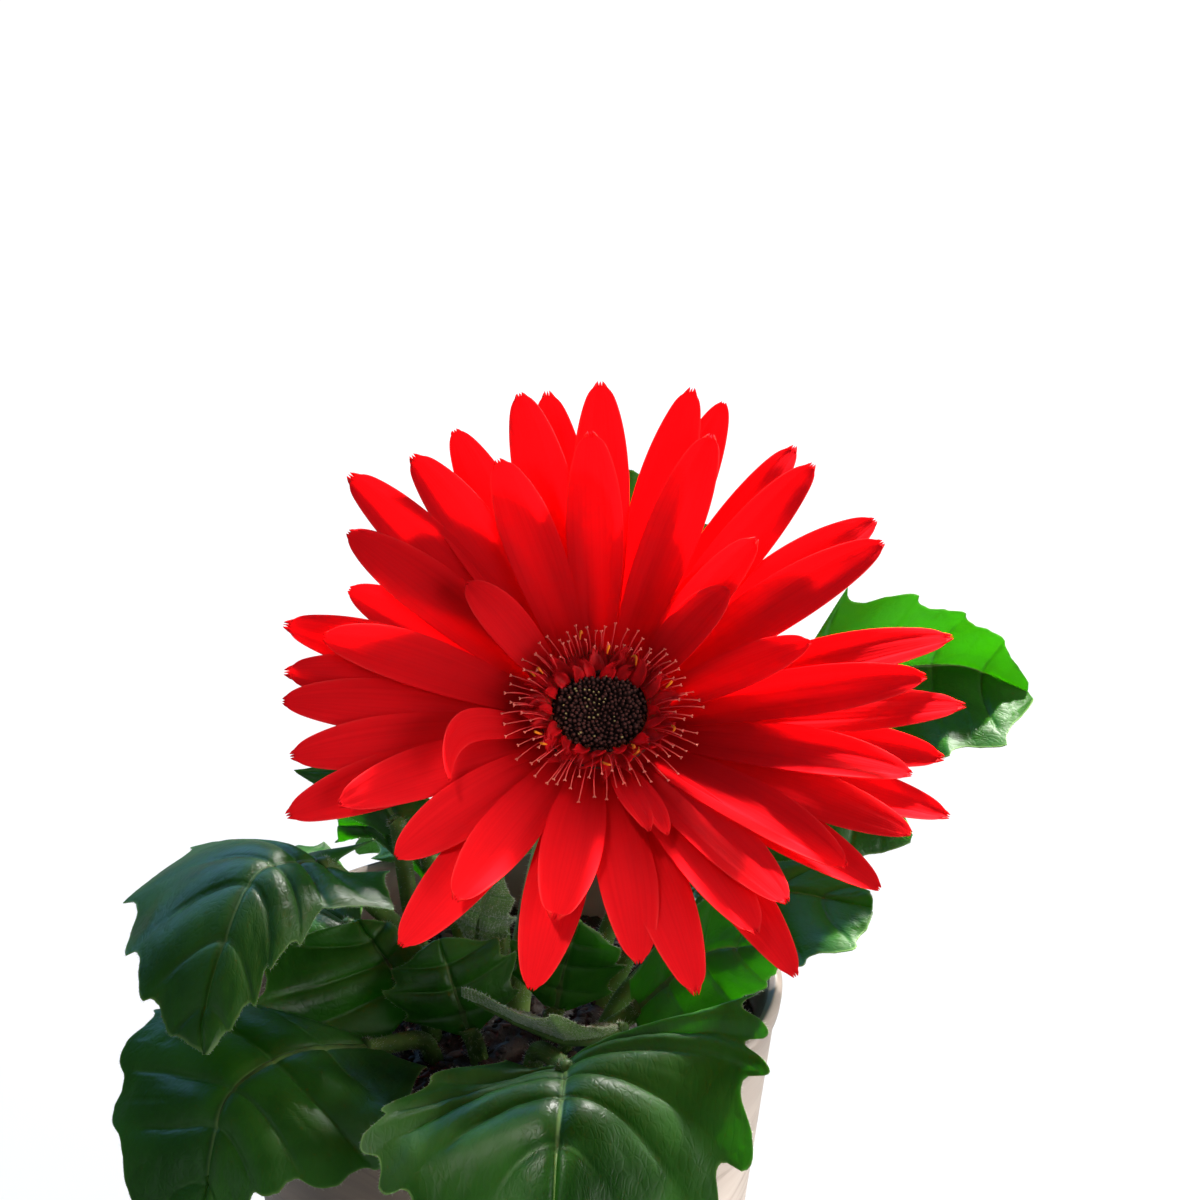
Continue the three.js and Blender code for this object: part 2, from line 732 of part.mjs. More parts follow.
// A blade that leaves the head outwards: turn(along) is its heading, height(along) its rise,
// halfWidth(along) its outline and dish how far its edges stand up.
function headBlade({ turn, from, to, height, halfWidth, dish, roll, alongs, columns, thickness }) {
  const step = 0.01;
  const place = (along, across) => {
    const spine = (share) => headPoint(from + (to - from) * share, turn(share), height(share));
    const ahead = spine(Math.min(along + step, 1));
    const forward = ahead.sub(spine(Math.max(along - step, 0))).normalize();
    const up = head.facing.clone().projectOnPlane(forward).normalize();
    const flatSide = forward.clone().cross(up);
    const lean = THREE.MathUtils.degToRad(roll * along);
    const side = flatSide.multiplyScalar(Math.cos(lean)).addScaledVector(up, Math.sin(lean));
    const normal = side.clone().cross(forward).normalize();
    const width = halfWidth(along);
    const point = spine(along)
      .addScaledVector(side, across * width)
      .addScaledVector(normal, dish * width * across * across);
    return { point, normal };
  };
  return bladeGeometry(place, alongs, columns, thickness);
}

// A petal's half width along it, as a share of the widest.
function rayOutline(along) {
  const { foot, widest, tip, tipRoundness } = rayShape;
  if (along < widest) {
    return foot + (1 - foot) * Math.sin((Math.PI / 2) * (along / widest));
  }
  const past = (along - widest) / (1 - widest);
  return tip + (1 - tip) * Math.max(1 - past ** 2, 0) ** tipRoundness;
}

function rayFlorets() {
  const random = randomFrom(11);
  const sheet = headLathe([
    [0, plate.bottom],
    [plate.radius, plate.bottom],
    [plate.radius, plate.top],
    [0, plate.top],
  ], plate.sides);
  const solids = [solidOf(sheet)];
  for (const layer of rayLayers) {
    for (const [turn, length, bend = 0] of layer.petals) {
      const leave = (ray.leave - ray.root) / (length - ray.root);
      const wide = layer.width * (1 + ray.widthSpread * (random() - 0.5));
      const height = (along) => {
        const out = Math.max(along - leave, 0) / (1 - leave);
        return layer.level + layer.rise * (1 - (1 - out) ** layer.arch);
      };
      const past = (along) => Math.max(along - ray.bendFrom, 0) / (1 - ray.bendFrom);
      solids.push(solidOf(headBlade({
        turn: (along) => turn + bend * past(along) ** 3,
        from: ray.root,
        to: length,
        height,
        halfWidth: (along) => (wide / 2) * rayOutline(along),
        dish: ray.dish + ray.dishSpread * (random() - 0.5),
        roll: ray.roll + ray.rollSpread * (random() - 0.5),
        alongs: [0, leave, ...ray.rows],
        columns: 2,
        thickness: ray.thickness,
      })));
    }
  }
  return geometryOf(join(solids));
}

function transFlorets() {
  const random = randomFrom(23);
  const ring = headLathe([
    [transRing.inner, plate.top + fitGap],
    [transRing.outer, plate.top + fitGap],
    [transRing.outer, transRing.top - 0.6],
    [transRing.outer - 0.7, transRing.top],
    [transRing.inner, transRing.top - 0.4],
    [transRing.inner, plate.top + fitGap],
  ], transRing.sides);
  const solids = [solidOf(ring)];
  for (let k = 0; k < ligule.count; k += 1) {
    const length = ligule.length * (0.75 + 0.5 * random());
    const turn = (360 * (k + 0.5 * random())) / ligule.count;
    solids.push(solidOf(headBlade({
      turn: () => turn,
      from: transRing.outer - 1,
      to: transRing.outer - 1 + length,
      height: (along) => transRing.top - 0.5 + ligule.lift * along,
      halfWidth: (along) => (ligule.width / 2) * (1 - 0.75 * along),
      dish: ligule.dish,
      roll: ligule.roll * (random() - 0.5),
      alongs: [0, 1],
      columns: 1,
      thickness: ligule.thickness,
    })));
  }
  for (let k = 0; k < style.count; k += 1) {
    const length = style.length * (0.75 + 0.4 * random());
    const turn = (360 * (k + 0.6 * random())) / style.count;
    const lift = style.lift * (0.7 + 0.5 * (k % 2));
    solids.push(solidOf(headBlade({
      turn: () => turn,
      from: style.start,
      to: style.start + length,
      height: (along) => transRing.top - 0.3 + lift * along,
      halfWidth: () => style.width / 2,
      dish: 0,
      roll: 0,
      alongs: [0, 1],
      columns: 1,
      thickness: style.width,
    })));
  }
  return geometryOf(join(solids));
}

// The dome of closed disc florets, whose tips are set in the spirals of a daisy's eye.
function discFlorets() {
  const golden = Math.PI * (3 - Math.sqrt(5));
  const tips = Array.from({ length: disc.bumps }, (_, k) => {
    const radius = disc.radius * Math.sqrt((k + 0.5) / disc.bumps);
    return [radius * Math.cos(k * golden), radius * Math.sin(k * golden)];
  });
  const height = (x, y) => {
    const share = Math.hypot(x, y) / disc.radius;
    const nearest = Math.min(...tips.map(([a, b]) => Math.hypot(x - a, y - b)));
    const dome = disc.top - disc.dip * (1 - share) ** 2 - disc.shoulder * share ** 6;
    return dome + disc.bumpHeight * Math.max(1 - nearest / disc.bumpRadius, -0.4);
  };
  const geometry = moundGeometry({
    radius: disc.radius,
    rings: disc.rings,
    sides: disc.sides,
    height,
    skirts: [[disc.radius, plate.top + fitGap]],
  });
  const basis = new THREE.Matrix4().makeBasis(headAcross, headUp, head.facing);
  geometry.applyMatrix4(basis.setPosition(head.centre));
  return geometryOf(solidOf(geometry));
}

// ---- Flower stalk, with the cup of bracts that holds the head ----

const stalkTop = head.centre.clone().addScaledVector(head.facing, -stalk.sink).toArray();
const stalkStem = stemPath([...stalkRoute, stalkTop], stalk.sides, stalk.radius);

function flowerStalk() {
  const top = plate.bottom - fitGap;
  const cupBody = headLathe([
    [0, top - cup.height],
    [stalk.radius + 0.6, top - cup.height],
    [stalk.radius + 2.2, top - 0.72 * cup.height],
    [0.8 * cup.radius, top - 0.33 * cup.height],
    [cup.radius, top - 0.1 * cup.height],
    [cup.radius, top],
    [0, top],
  ], bract.perRow);
  const rod = rodGeometry(stalkStem.curve, stalk.radius, stalk.sides, stalk.steps);
  const solids = [solidOf(rod), solidOf(cupBody)];
  for (let row = 0; row < bract.rows; row += 1) {
    const from = bract.root - bract.rowStep * row;
    const low = top - 3.2 - bract.rowStep * row;
    for (let k = 0; k < bract.perRow; k += 1) {
      solids.push(solidOf(headBlade({
        turn: () => (360 * (k + row / 2)) / bract.perRow,
        from,
        to: from + bract.length * (1 - 0.25 * row),
        height: (along) => low + bract.lift * along,
        halfWidth: (along) => (bract.width / 2) * (1 - 0.8 * along ** 2),
        dish: 0.1,
        roll: 0,
        alongs: [0, 0.5, 1],
        columns: 1,
        thickness: bract.thickness,
      })));
    }
  }
  return geometryOf(join(solids));
}

// ---- The plant in its pot ----

const finish = {
  pot: { color: 0x8f7468, roughness: 0.62, metalness: 0 },
  soil: { color: 0x2c1f17, roughness: 0.98, metalness: 0 },
  leaf: { color: 0x1d5a1c, roughness: 0.38, metalness: 0 },
  youngLeaf: { color: 0x5f7c52, roughness: 0.85, metalness: 0 },
  stalk: { color: 0x5c8436, roughness: 0.6, metalness: 0 },
  ray: { color: 0xc80d12, roughness: 0.5, metalness: 0 },
  trans: { color: 0xa01722, roughness: 0.6, metalness: 0 },
  disc: { color: 0x2a100c, roughness: 0.7, metalness: 0 },
};

const plant = new THREE.Group();

function add(name, geometry, look) {
  const mesh = new THREE.Mesh(geometry, new THREE.MeshStandardMaterial(look));
  mesh.name = name;
  plant.add(mesh);
}

const grown = leaves.map((leaf) => ({ ...leafHabit, ...leaf }));
add('pot', potGeometry(), finish.pot);
add('soil', soilGeometry([stalkStem, ...grown.map(stemOf)]), finish.soil);
add('flower_stalk', flowerStalk(), finish.stalk);
add('ray_florets', rayFlorets(), finish.ray);
add('trans_florets', transFlorets(), finish.trans);
add('disc_florets', discFlorets(), finish.disc);
for (const leaf of grown) {
  add(leaf.name, leafGeometry(leaf), leaf.young ? finish.youngLeaf : finish.leaf);
}

export default plant;
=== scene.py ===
import math

import bpy
import numpy as np
from mathutils import Matrix, Vector


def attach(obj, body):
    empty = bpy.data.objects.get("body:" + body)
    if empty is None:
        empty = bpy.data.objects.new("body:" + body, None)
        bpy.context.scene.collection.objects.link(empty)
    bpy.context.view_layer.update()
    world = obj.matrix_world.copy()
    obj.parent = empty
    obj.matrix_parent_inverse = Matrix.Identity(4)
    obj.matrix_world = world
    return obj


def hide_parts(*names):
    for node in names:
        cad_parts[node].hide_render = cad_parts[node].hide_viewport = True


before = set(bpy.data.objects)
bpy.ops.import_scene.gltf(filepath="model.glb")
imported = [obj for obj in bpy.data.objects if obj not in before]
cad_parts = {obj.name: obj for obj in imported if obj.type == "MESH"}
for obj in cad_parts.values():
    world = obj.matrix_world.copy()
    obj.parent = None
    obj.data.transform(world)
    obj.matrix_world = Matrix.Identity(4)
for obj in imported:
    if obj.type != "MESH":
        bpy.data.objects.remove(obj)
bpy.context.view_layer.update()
print("frame loaded")

metre = 0.001  # one millimetre in Blender's metres


# Small helpers for vectors, curves and meshes

def unit(vectors):
    return vectors / np.maximum(np.linalg.norm(vectors, axis=-1, keepdims=True), 1e-9)


def vec(*numbers):
    return np.array(numbers, dtype=float)


# A rise from 0 at one value to 1 at another, straight between them.
def ramp(values, start, end):
    return np.clip((values - start) / (end - start), 0, 1)


# Repeatable random numbers from 0 to 1, the same as the solid model draws.
draw = {"factor": 1664525, "step": 1013904223, "span": 2 ** 32}


def drawsFrom(seed):
    state = seed
    while True:
        state = (state * draw["factor"] + draw["step"]) % draw["span"]
        yield state / draw["span"]


# Points on the smooth curve through a route, at shares from 0 to 1 of its length in points.
def onRoute(route, shares):
    route = np.array(route, dtype=float)
    last = len(route) - 1
    padded = np.vstack([2 * route[0] - route[1], route, 2 * route[last] - route[last - 1]])
    place = np.clip(np.asarray(shares, dtype=float), 0, 1) * last
    first = np.minimum(place.astype(int), last - 1)
    w = (place - first)[..., None]
    a, b, c, d = (padded[first + k] for k in range(4))
    startPull = (c - a) / 2
    endPull = (d - b) / 2
    return (
        (2 * b - 2 * c + startPull + endPull) * w ** 3
        + (3 * c - 3 * b - 2 * startPull - endPull) * w ** 2
        + startPull * w
        + b
    )


# Smooth waves that stand in for noise on a surface, from 3-D points. Each wave after the first
# is shorter and weaker.
ripple = {"waves": 5, "firstWave": 0.7, "shorter": 0.35, "weaker": 0.4, "evenOut": 2.6}


def ripples(points, size, seed):
    rng = np.random.default_rng(seed)
    total = np.zeros(points.shape[:-1])
    for k in range(ripple["waves"]):
        fineness = ripple["firstWave"] + ripple["shorter"] * k
        heading = unit(rng.normal(size=3)) * (2 * math.pi / size) * fineness
        total += np.sin(points @ heading + rng.uniform(0, 2 * math.pi)) / (1 + ripple["weaker"] * k)
    return total / ripple["evenOut"]


def link(thing):
    bpy.context.scene.collection.objects.link(thing)
    return thing


# One mesh object. groups is a list of (faces, material index), flat holds a flat place for each
# vertex, and marks hold a value for each vertex.
def makePiece(name, points, groups, materials, nodes, slot, flat=None, marks=None):
    mesh = bpy.data.meshes.new(name)
    faces = []
    picks = []
    for part, pick in groups:
        faces += np.asarray(part).tolist()
        picks += [pick] * len(part)
    mesh.from_pydata((np.asarray(points).reshape(-1, 3) * metre).tolist(), [], faces)
    for material in materials:
        mesh.materials.append(material)
    mesh.polygons.foreach_set("material_index", picks)
    mesh.polygons.foreach_set("use_smooth", [True] * len(faces))
    if flat is not None:
        corners = np.empty(len(mesh.loops), dtype=np.int32)
        mesh.loops.foreach_get("vertex_index", corners)
        layer = mesh.uv_layers.new(name="flat")
        layer.data.foreach_set("uv", np.asarray(flat).reshape(-1, 2)[corners].ravel())
    for mark, values in (marks or {}).items():
        kept = mesh.attributes.new(mark, "FLOAT", "POINT")
        kept.data.foreach_set("value", np.asarray(values, dtype=np.float32).ravel())
    mesh.update()
    piece = link(bpy.data.objects.new(name, mesh))
    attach(piece, "root")
    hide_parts(*nodes)
    return piece


# Gathers many small closed shapes into one piece.
class Heap:
    def __init__(self):
        self.points = []
        self.groups = {}
        self.marks = {}
        self.flat = []
        self.count = 0

    def add(self, points, groups, flat=None, **marks):
        points = np.asarray(points).reshape(-1, 3)
        self.points.append(points)
        for faces, pick in groups:
            kind = (pick, np.asarray(faces).shape[1])
            self.groups.setdefault(kind, []).append(np.asarray(faces) + self.count)
        if flat is not None:
            self.flat.append(np.asarray(flat).reshape(-1, 2))
        for mark, values in marks.items():
            spread = np.broadcast_to(np.asarray(values, dtype=float).ravel(), len(points))
            self.marks.setdefault(mark, []).append(spread)
        self.count += len(points)

    def make(self, name, materials, nodes, slot):
        groups = [(np.vstack(parts), pick) for (pick, _), parts in sorted(self.groups.items())]
        marks = {mark: np.concatenate(values) for mark, values in self.marks.items()}
        flat = np.vstack(self.flat) if self.flat else None
        return makePiece(name, np.vstack(self.points), groups, materials, nodes, slot, flat, marks)


# Faces of a grid of points, rows by columns.
def gridFaces(rows, columns, start=0, turned=False, wrap=False):
    wide = columns if wrap else columns - 1
    i, j = np.meshgrid(np.arange(rows - 1), np.arange(wide), indexing="ij")
    nextJ = (j + 1) % columns
    here, ahead = i * columns, (i + 1) * columns
    faces = np.stack([here + j, here + nextJ, ahead + nextJ, ahead + j], -1).reshape(-1, 4) + start
    return faces[:, ::-1] if turned else faces


# The wall of a closed tube of rings, and the two fans that close it. The fans' middles are the
# two points after the rings.
def tubeFaces(rows, sides, turned=False):
    first = np.arange(sides)
    after = (first + 1) % sides
    hub = rows * sides
    last = hub - sides
    start = np.stack([np.full(sides, hub), after, first], -1)
    end = np.stack([np.full(sides, hub + 1), last + first, last + after], -1)
    fans = np.vstack([start, end])
    return gridFaces(rows, sides, turned=turned, wrap=True), fans[:, [0, 2, 1]] if turned else fans


# The points and faces of a thin sheet, from the grids of its upper and its lower side.
def sheetShape(top, bottom, underPick=0):
    rows, columns = top.shape[:2]
    half = rows * columns
    upper = gridFaces(rows, columns)
    under = gridFaces(rows, columns, half, turned=True)
    rim = np.concatenate([
        np.arange(columns),
        np.arange(2, rows + 1) * columns - 1,
        np.arange(rows * columns - 2, (rows - 1) * columns - 1, -1),
        np.arange(rows - 2, 0, -1) * columns,
    ])
    ahead = np.roll(rim, -1)
    edge = np.stack([rim, rim + half, ahead + half, ahead], -1)
    points = np.concatenate([top.reshape(-1, 3), bottom.reshape(-1, 3)])
    return points, [(upper, 0), (under, underPick), (edge, 0)]


# The two sides of a sheet from its middle surface and how thick it is there.
def thicken(middle, thickness):
    alongStep = np.gradient(middle, axis=0)
    acrossStep = np.gradient(middle, axis=1)
    normal = unit(np.cross(acrossStep, alongStep))
    half = np.broadcast_to(thickness, middle.shape[:2])[..., None] / 2
    return middle + normal * half, middle - normal * half, normal


# Where a rod's and a hair's corners start, so that no rod runs that way itself.
rodLead = vec(0.31, -0.87, 0.38)
hairLead = vec(0.2, 0.3, 0.93)


# A round rod along points, closed at both ends. The radius may change along it.
def rodShape(path, radius, sides):
    path = np.asarray(path, dtype=float)
    rows = len(path)
    forward = unit(np.gradient(path, axis=0))
    side = unit(np.cross(forward, np.broadcast_to(rodLead, forward.shape)))
    over = np.cross(side, forward)
    angle = 2 * math.pi * np.arange(sides) / sides
    radius = np.broadcast_to(np.asarray(radius, dtype=float), rows)
    ring = side[:, None] * np.cos(angle)[None, :, None] + over[:, None] * np.sin(angle)[None, :, None]
    points = path[:, None] + ring * radius[:, None, None]
    return np.vstack([points.reshape(-1, 3), path[:1], path[-1:]]), *tubeFaces(rows, sides)


# A lathed shape round the pot's axis, from a profile that starts and ends on the axis.
def latheShape(profile, sides):
    inner = np.array(profile[1:-1], dtype=float)
    angle = 2 * math.pi * np.arange(sides) / sides
    ring = np.stack([np.cos(angle), np.sin(angle)], -1)
    points = np.concatenate([
        inner[:, None, :1] * ring[None],
        np.broadcast_to(inner[:, None, 1:], (len(inner), sides, 1)),
    ], -1).reshape(-1, 3)
    points = np.vstack([points, [0, 0, profile[0][1]], [0, 0, profile[-1][1]]])
    return points, *tubeFaces(len(inner), sides)


# Hairs as fine closed spikes: three corners at the root and one tip.
def hairShape(roots, headings, lengths, width):
    roots = np.asarray(roots)
    headings = unit(np.asarray(headings))
    side = unit(np.cross(headings, hairLead))
    over = np.cross(side, headings)
    points = []
    for k in range(3):
        angle = 2 * math.pi * k / 3
        points.append(roots + (side * math.cos(angle) + over * math.sin(angle)) * width / 2)
    points.append(roots + headings * np.asarray(lengths)[:, None])
    base = 4 * np.arange(len(roots))[:, None]
    corners = np.array([[0, 1, 3], [1, 2, 3], [2, 0, 3], [0, 2, 1]])
    faces = (base[:, None, :] + corners[None]).reshape(-1, 3)
    return np.stack(points, 1).reshape(-1, 3), [(faces, 0)]


# Shader helpers

# A socket stays as it is, and a colour gets its alpha.
def rgba(colour):
    return colour if isinstance(colour, bpy.types.NodeSocket) else (*colour, 1)


def shade(colour, share):
    return tuple(share * part for part in colour)


# Sets a node's inputs. A socket is linked, and any other value is written in.
def feed(tree, node, inputs):
    for key, value in inputs.items():
        if isinstance(value, bpy.types.NodeSocket):
            tree.links.new(value, node.inputs[key])
        else:
            node.inputs[key].default_value = value
    return node


def addNode(tree, kind, inputs=None, **properties):
    node = tree.nodes.new("ShaderNode" + kind)
    for key, value in properties.items():
        setattr(node, key, value)
    return feed(tree, node, inputs or {})


def newMaterial(name):
    material = bpy.data.materials.new(name)
    material.use_nodes = True
    tree = material.node_tree
    return material, tree, tree.nodes["Principled BSDF"]


def mark(tree, name):
    return addNode(tree, "Attribute", attribute_name=name).outputs["Fac"]


def mixColour(tree, share, first, second):
    inputs = {0: share, 6: rgba(first), 7: rgba(second)}
    return addNode(tree, "Mix", inputs, data_type="RGBA").outputs[2]


def mapRange(tree, value, low, high, toLow=0.0, toHigh=1.0):
    inputs = {"Value": value, "From Min": low, "From Max": high, "To Min": toLow, "To Max": toHigh}
    return addNode(tree, "MapRange", inputs, interpolation_type="SMOOTHSTEP").outputs["Result"]


def noise(tree, place, scale, detail, **more):
    return addNode(tree, "TexNoise", {"Vector": place, "Scale": scale, "Detail": detail, **more})


def vectorMath(tree, operation, inputs):
    return addNode(tree, "VectorMath", inputs, operation=operation).outputs[0]


def addBump(tree, principled, height, strength, distance):
    bump = addNode(tree, "Bump", {"Height": height, "Strength": strength, "Distance": distance * metre})
    tree.links.new(bump.outputs[0], principled.inputs["Normal"])


# Mixes the surface with light that comes through from behind.
def letThrough(tree, principled, colour, share):
    through = addNode(tree, "BsdfTranslucent", {"Color": rgba(colour)})
    if principled.inputs["Normal"].is_linked:
        tree.links.new(principled.inputs["Normal"].links[0].from_socket, through.inputs["Normal"])
    mix = addNode(tree, "MixShader", {"Fac": share, 1: principled.outputs[0], 2: through.outputs[0]})
    tree.links.new(mix.outputs[0], tree.nodes["Material Output"].inputs["Surface"])


# Two shades of a colour in soft patches, and a fine grain for the roughness and the bump.
def makeMottle():
    tree = bpy.data.node_groups.new("mottle", "ShaderNodeTree")
    for label, kind, value in (
        ("Light Colour", "Color", (0.8, 0.8, 0.8, 1)),
        ("Dark Colour", "Color", (0.3, 0.3, 0.3, 1)),
        ("Patch Scale", "Float", 60.0),
        ("Grain Scale", "Float", 900.0),
    ):
        socket = tree.interface.new_socket(label, in_out="INPUT", socket_type="NodeSocket" + kind)
        socket.default_value = value
    for label, kind in (("Color", "Color"), ("Patch", "Float"), ("Grain", "Float")):
        tree.interface.new_socket(label, in_out="OUTPUT", socket_type="NodeSocket" + kind)
    start = tree.nodes.new("NodeGroupInput").outputs
    end = tree.nodes.new("NodeGroupOutput")
    place = addNode(tree, "TexCoord").outputs["Object"]
    patch = noise(tree, place, start["Patch Scale"], 3.0).outputs["Fac"]
    grain = noise(tree, place, start["Grain Scale"], 2.0).outputs["Fac"]
    colour = mixColour(tree, mapRange(tree, patch, 0.32, 0.68), start["Dark Colour"], start["Light Colour"])
    feed(tree, end, {"Color": colour, "Patch": patch, "Grain": grain})
    return tree


mottle = makeMottle()


def mottled(tree, light, dark, patchScale, grainScale):
    node = tree.nodes.new("ShaderNodeGroup")
    node.node_tree = mottle
    return feed(tree, node, {
        "Light Colour": rgba(light),
        "Dark Colour": rgba(dark),
        "Patch Scale": patchScale,
        "Grain Scale": grainScale,
    }).outputs


# What every plain material shares, unless it says otherwise. bump is a strength and a depth, and
# through is the colour and the share of the light that comes through.
plainHabit = {
    "patch": 300.0,
    "grain": 2500.0,
    "bump": (0.3, 0.1),
    "specular": 0.12,
    "sheen": 0.0,
    "through": None,
}


# A material in two mottled shades. Two values of rough are those of its dark and light patches.
def plainMaterial(name, light, dark, rough, **own):
    look = {**plainHabit, **own}
    material, tree, paint = newMaterial(name)
    shades = mottled(tree, light, dark, look["patch"], look["grain"])
    if isinstance(rough, tuple):
        rough = mapRange(tree, shades["Patch"], 0.3, 0.7, *rough)
    feed(tree, paint, {
        "Base Color": shades["Color"],
        "Roughness": rough,
        "Specular IOR Level": look["specular"],
        "Sheen Weight": look["sheen"],
    })
    addBump(tree, paint, shades["Grain"], *look["bump"])
    if look["through"]:
        letThrough(tree, paint, *look["through"])
    return material


# Studio

shot = {
    "place": (20, -482, 382),
    "down": 22,
    "lens": 80,
    "sensor": 36,
    "farthest": 50000,
}

# Each lamp is a soft box: where it stands, how wide it is, its power and its colour.
softBoxes = {
    "key": {"place": (451, 1104, 1036), "size": 45, "power": 33, "colour": (1.0, 0.97, 0.92)},
    "window": {"place": (-560, 1050, 1000), "size": 1300, "power": 17, "colour": (0.25, 0.56, 1.0)},
    "side": {"place": (1000, 250, 450), "size": 500, "power": 7, "colour": (1.0, 0.98, 0.95)},
    "rightFill": {"place": (900, -550, 250), "size": 700, "power": 9, "colour": (1.0, 0.98, 0.96)},
    "leftFill": {"place": (-800, -900, 650), "size": 900, "power": 3, "colour": (0.85, 0.93, 1.0)},
}
plantCentre = (15, -30, 150)

# Lamps with barn doors, each of which lights one part of the plant: what it is aimed at, half the
# width and height that it lights, and its power. The first four stand where the key stands, and
# what a lamp leaves out is as in sunHabit: the way to the lamp, its size and colour, and whether
# it shows as a glint.
sunHabit = {"way": (0.291, 0.756, 0.591), "size": 45, "colour": (1.0, 0.97, 0.92), "glint": False}
barnDoors = {
    "headLight": {"aim": (20, -52, 190), "wide": 125, "high": 36, "power": 1700},
    "rightLight": {"aim": (97, 14, 150), "wide": 34, "high": 32, "power": 1000},
    "lowLight": {"aim": (68, -20, 125), "wide": 20, "high": 14, "power": 350, "size": 20},
    "backLight": {"aim": (-34, 36, 118), "wide": 18, "high": 12, "power": 900, "size": 20},
    "frontLight": {
        "aim": (26, -82, 100), "wide": 42, "high": 36, "power": 105, "size": 50,
        "way": (-0.35, -0.20, 0.92), "colour": (1.0, 1.0, 0.88), "glint": True,
    },
    "potLight": {
        "aim": (57, -30, 62), "wide": 40, "high": 45, "power": 180, "size": 50,
        "way": (0.85, -0.42, 0.32), "colour": (1.0, 1.0, 1.0),
    },
}
alongHead = (0.951, -0.186, -0.230)
barnDoorReach = 1500
barnDoorBlend = 0.5

sky = {
    "colour": (0.86, 0.93, 1.0),
    "light": 0.13,
    "seen": 1.0,
}


def makeCamera():
    camera = link(bpy.data.objects.new("camera", bpy.data.cameras.new("camera")))
    camera.data.lens = shot["lens"]
    camera.data.sensor_width = shot["sensor"]
    camera.data.clip_end = shot["farthest"] * metre
    camera.location = np.array(shot["place"]) * metre
    camera.rotation_euler = (math.radians(90 - shot["down"]), 0, 0)
    bpy.context.scene.camera = camera


def addLamp(name, kind, look):
    lamp = bpy.data.lights.new(name, kind)
    lamp.energy = look["power"]
    lamp.color = look["colour"]
    return link(bpy.data.objects.new(name, lamp)), lamp


def makeSoftBox(name, box):
    thing, lamp = addLamp(name, "AREA", box)
    lamp.shape = "DISK"
    lamp.size = box["size"] * metre
    place = Vector(box["place"])
    thing.location = place * metre
    thing.rotation_euler = (Vector(plantCentre) - place).to_track_quat("-Z", "Y").to_euler()


def makeSpot(name, doors):
    thing, lamp = addLamp(name, "SPOT", doors)
    lamp.shadow_soft_size = doors["size"] / 2 * metre
    lamp.spot_size = 2 * math.atan(doors["high"] / barnDoorReach)
    lamp.spot_blend = barnDoorBlend
    way = Vector(doors["way"]).normalized()
    across = Vector(alongHead)
    across = (across - way * across.dot(way)).normalized()
    turn = Matrix((across, way.cross(across), way)).transposed()
    thing.location = (Vector(doors["aim"]) + way * barnDoorReach) * metre
    thing.rotation_euler = turn.to_euler()
    thing.scale = (doors["wide"] / doors["high"], 1, 1)
    thing.visible_glossy = doors["glint"]


# A soft even sky. Where it shows behind the plant it is plain white.
def makeSky():
    world = bpy.data.worlds.new("sky")
    bpy.context.scene.world = world
    world.use_nodes = True
    tree = world.node_tree
    light = feed(tree, tree.nodes["Background"], {"Color": rgba(sky["colour"]), "Strength": sky["light"]})
    seen = addNode(tree, "Background", {"Color": (1, 1, 1, 1), "Strength": sky["seen"]})
    toCamera = addNode(tree, "LightPath").outputs["Is Camera Ray"]
    mix = addNode(tree, "MixShader", {"Fac": toCamera, 1: light.outputs[0], 2: seen.outputs[0]})
    tree.links.new(mix.outputs[0], tree.nodes["World Output"].inputs["Surface"])


makeCamera()
for name, box in softBoxes.items():
    makeSoftBox(name, box)
for name, doors in barnDoors.items():
    makeSpot(name, {**sunHabit, **doors})
makeSky()
bpy.context.scene.view_settings.view_transform = "Standard"
print("camera, lamps and sky set")


# Pot

pot = {
    "height": 105,
    "rimRadius": 57,
    "baseRadius": 45,
    "wall": 2.4,
    "floor": 3.2,
    "lipHeight": 5,
    "lipOut": 0.9,
    "lipDraft": 0.2,
    "lipRounding": 1.2,
    "mouthBevel": 1,
    "footRounding": 1.5,
    "floorRounding": 2,
    "drainHoles": 5,
    "drainRadius": 4,
    "drainRing": 26,
    "drainSides": 32,
    "sides": 180,
    "wallRows": 24,
    "wallFrom": 4,
    "sharpFrom": 50,
}

# The scales are those of the wood print's grain and pores, round the wall and up it. Between the
# two bounds, in metres across the pot, the shaded tones of painted shade on its left give way to the plain
# ones.
potLook = {
    "light": (0.36, 0.31, 0.27),
    "dark": (0.22, 0.18, 0.15),
    "paintedShadeLight": (0.20, 0.145, 0.105),
    "paintedShadeDark": (0.065, 0.043, 0.03),
    "paintedShadeFrom": -0.02,
    "paintedShadeTo": 0.04,
    "line": (0.045, 0.026, 0.016),
    "lineShare": 0.3,
    "inside": (0.30, 0.24, 0.21),
    "swayScale": 22.0,
    "sway": 0.02,
    "grainScale": (7.0, 7.0, 60.0),
    "poreScale": (21.0, 21.0, 420.0),
}


def potRadius(z):
    return pot["baseRadius"] + (pot["rimRadius"] - pot["baseRadius"]) * z / pot["height"]
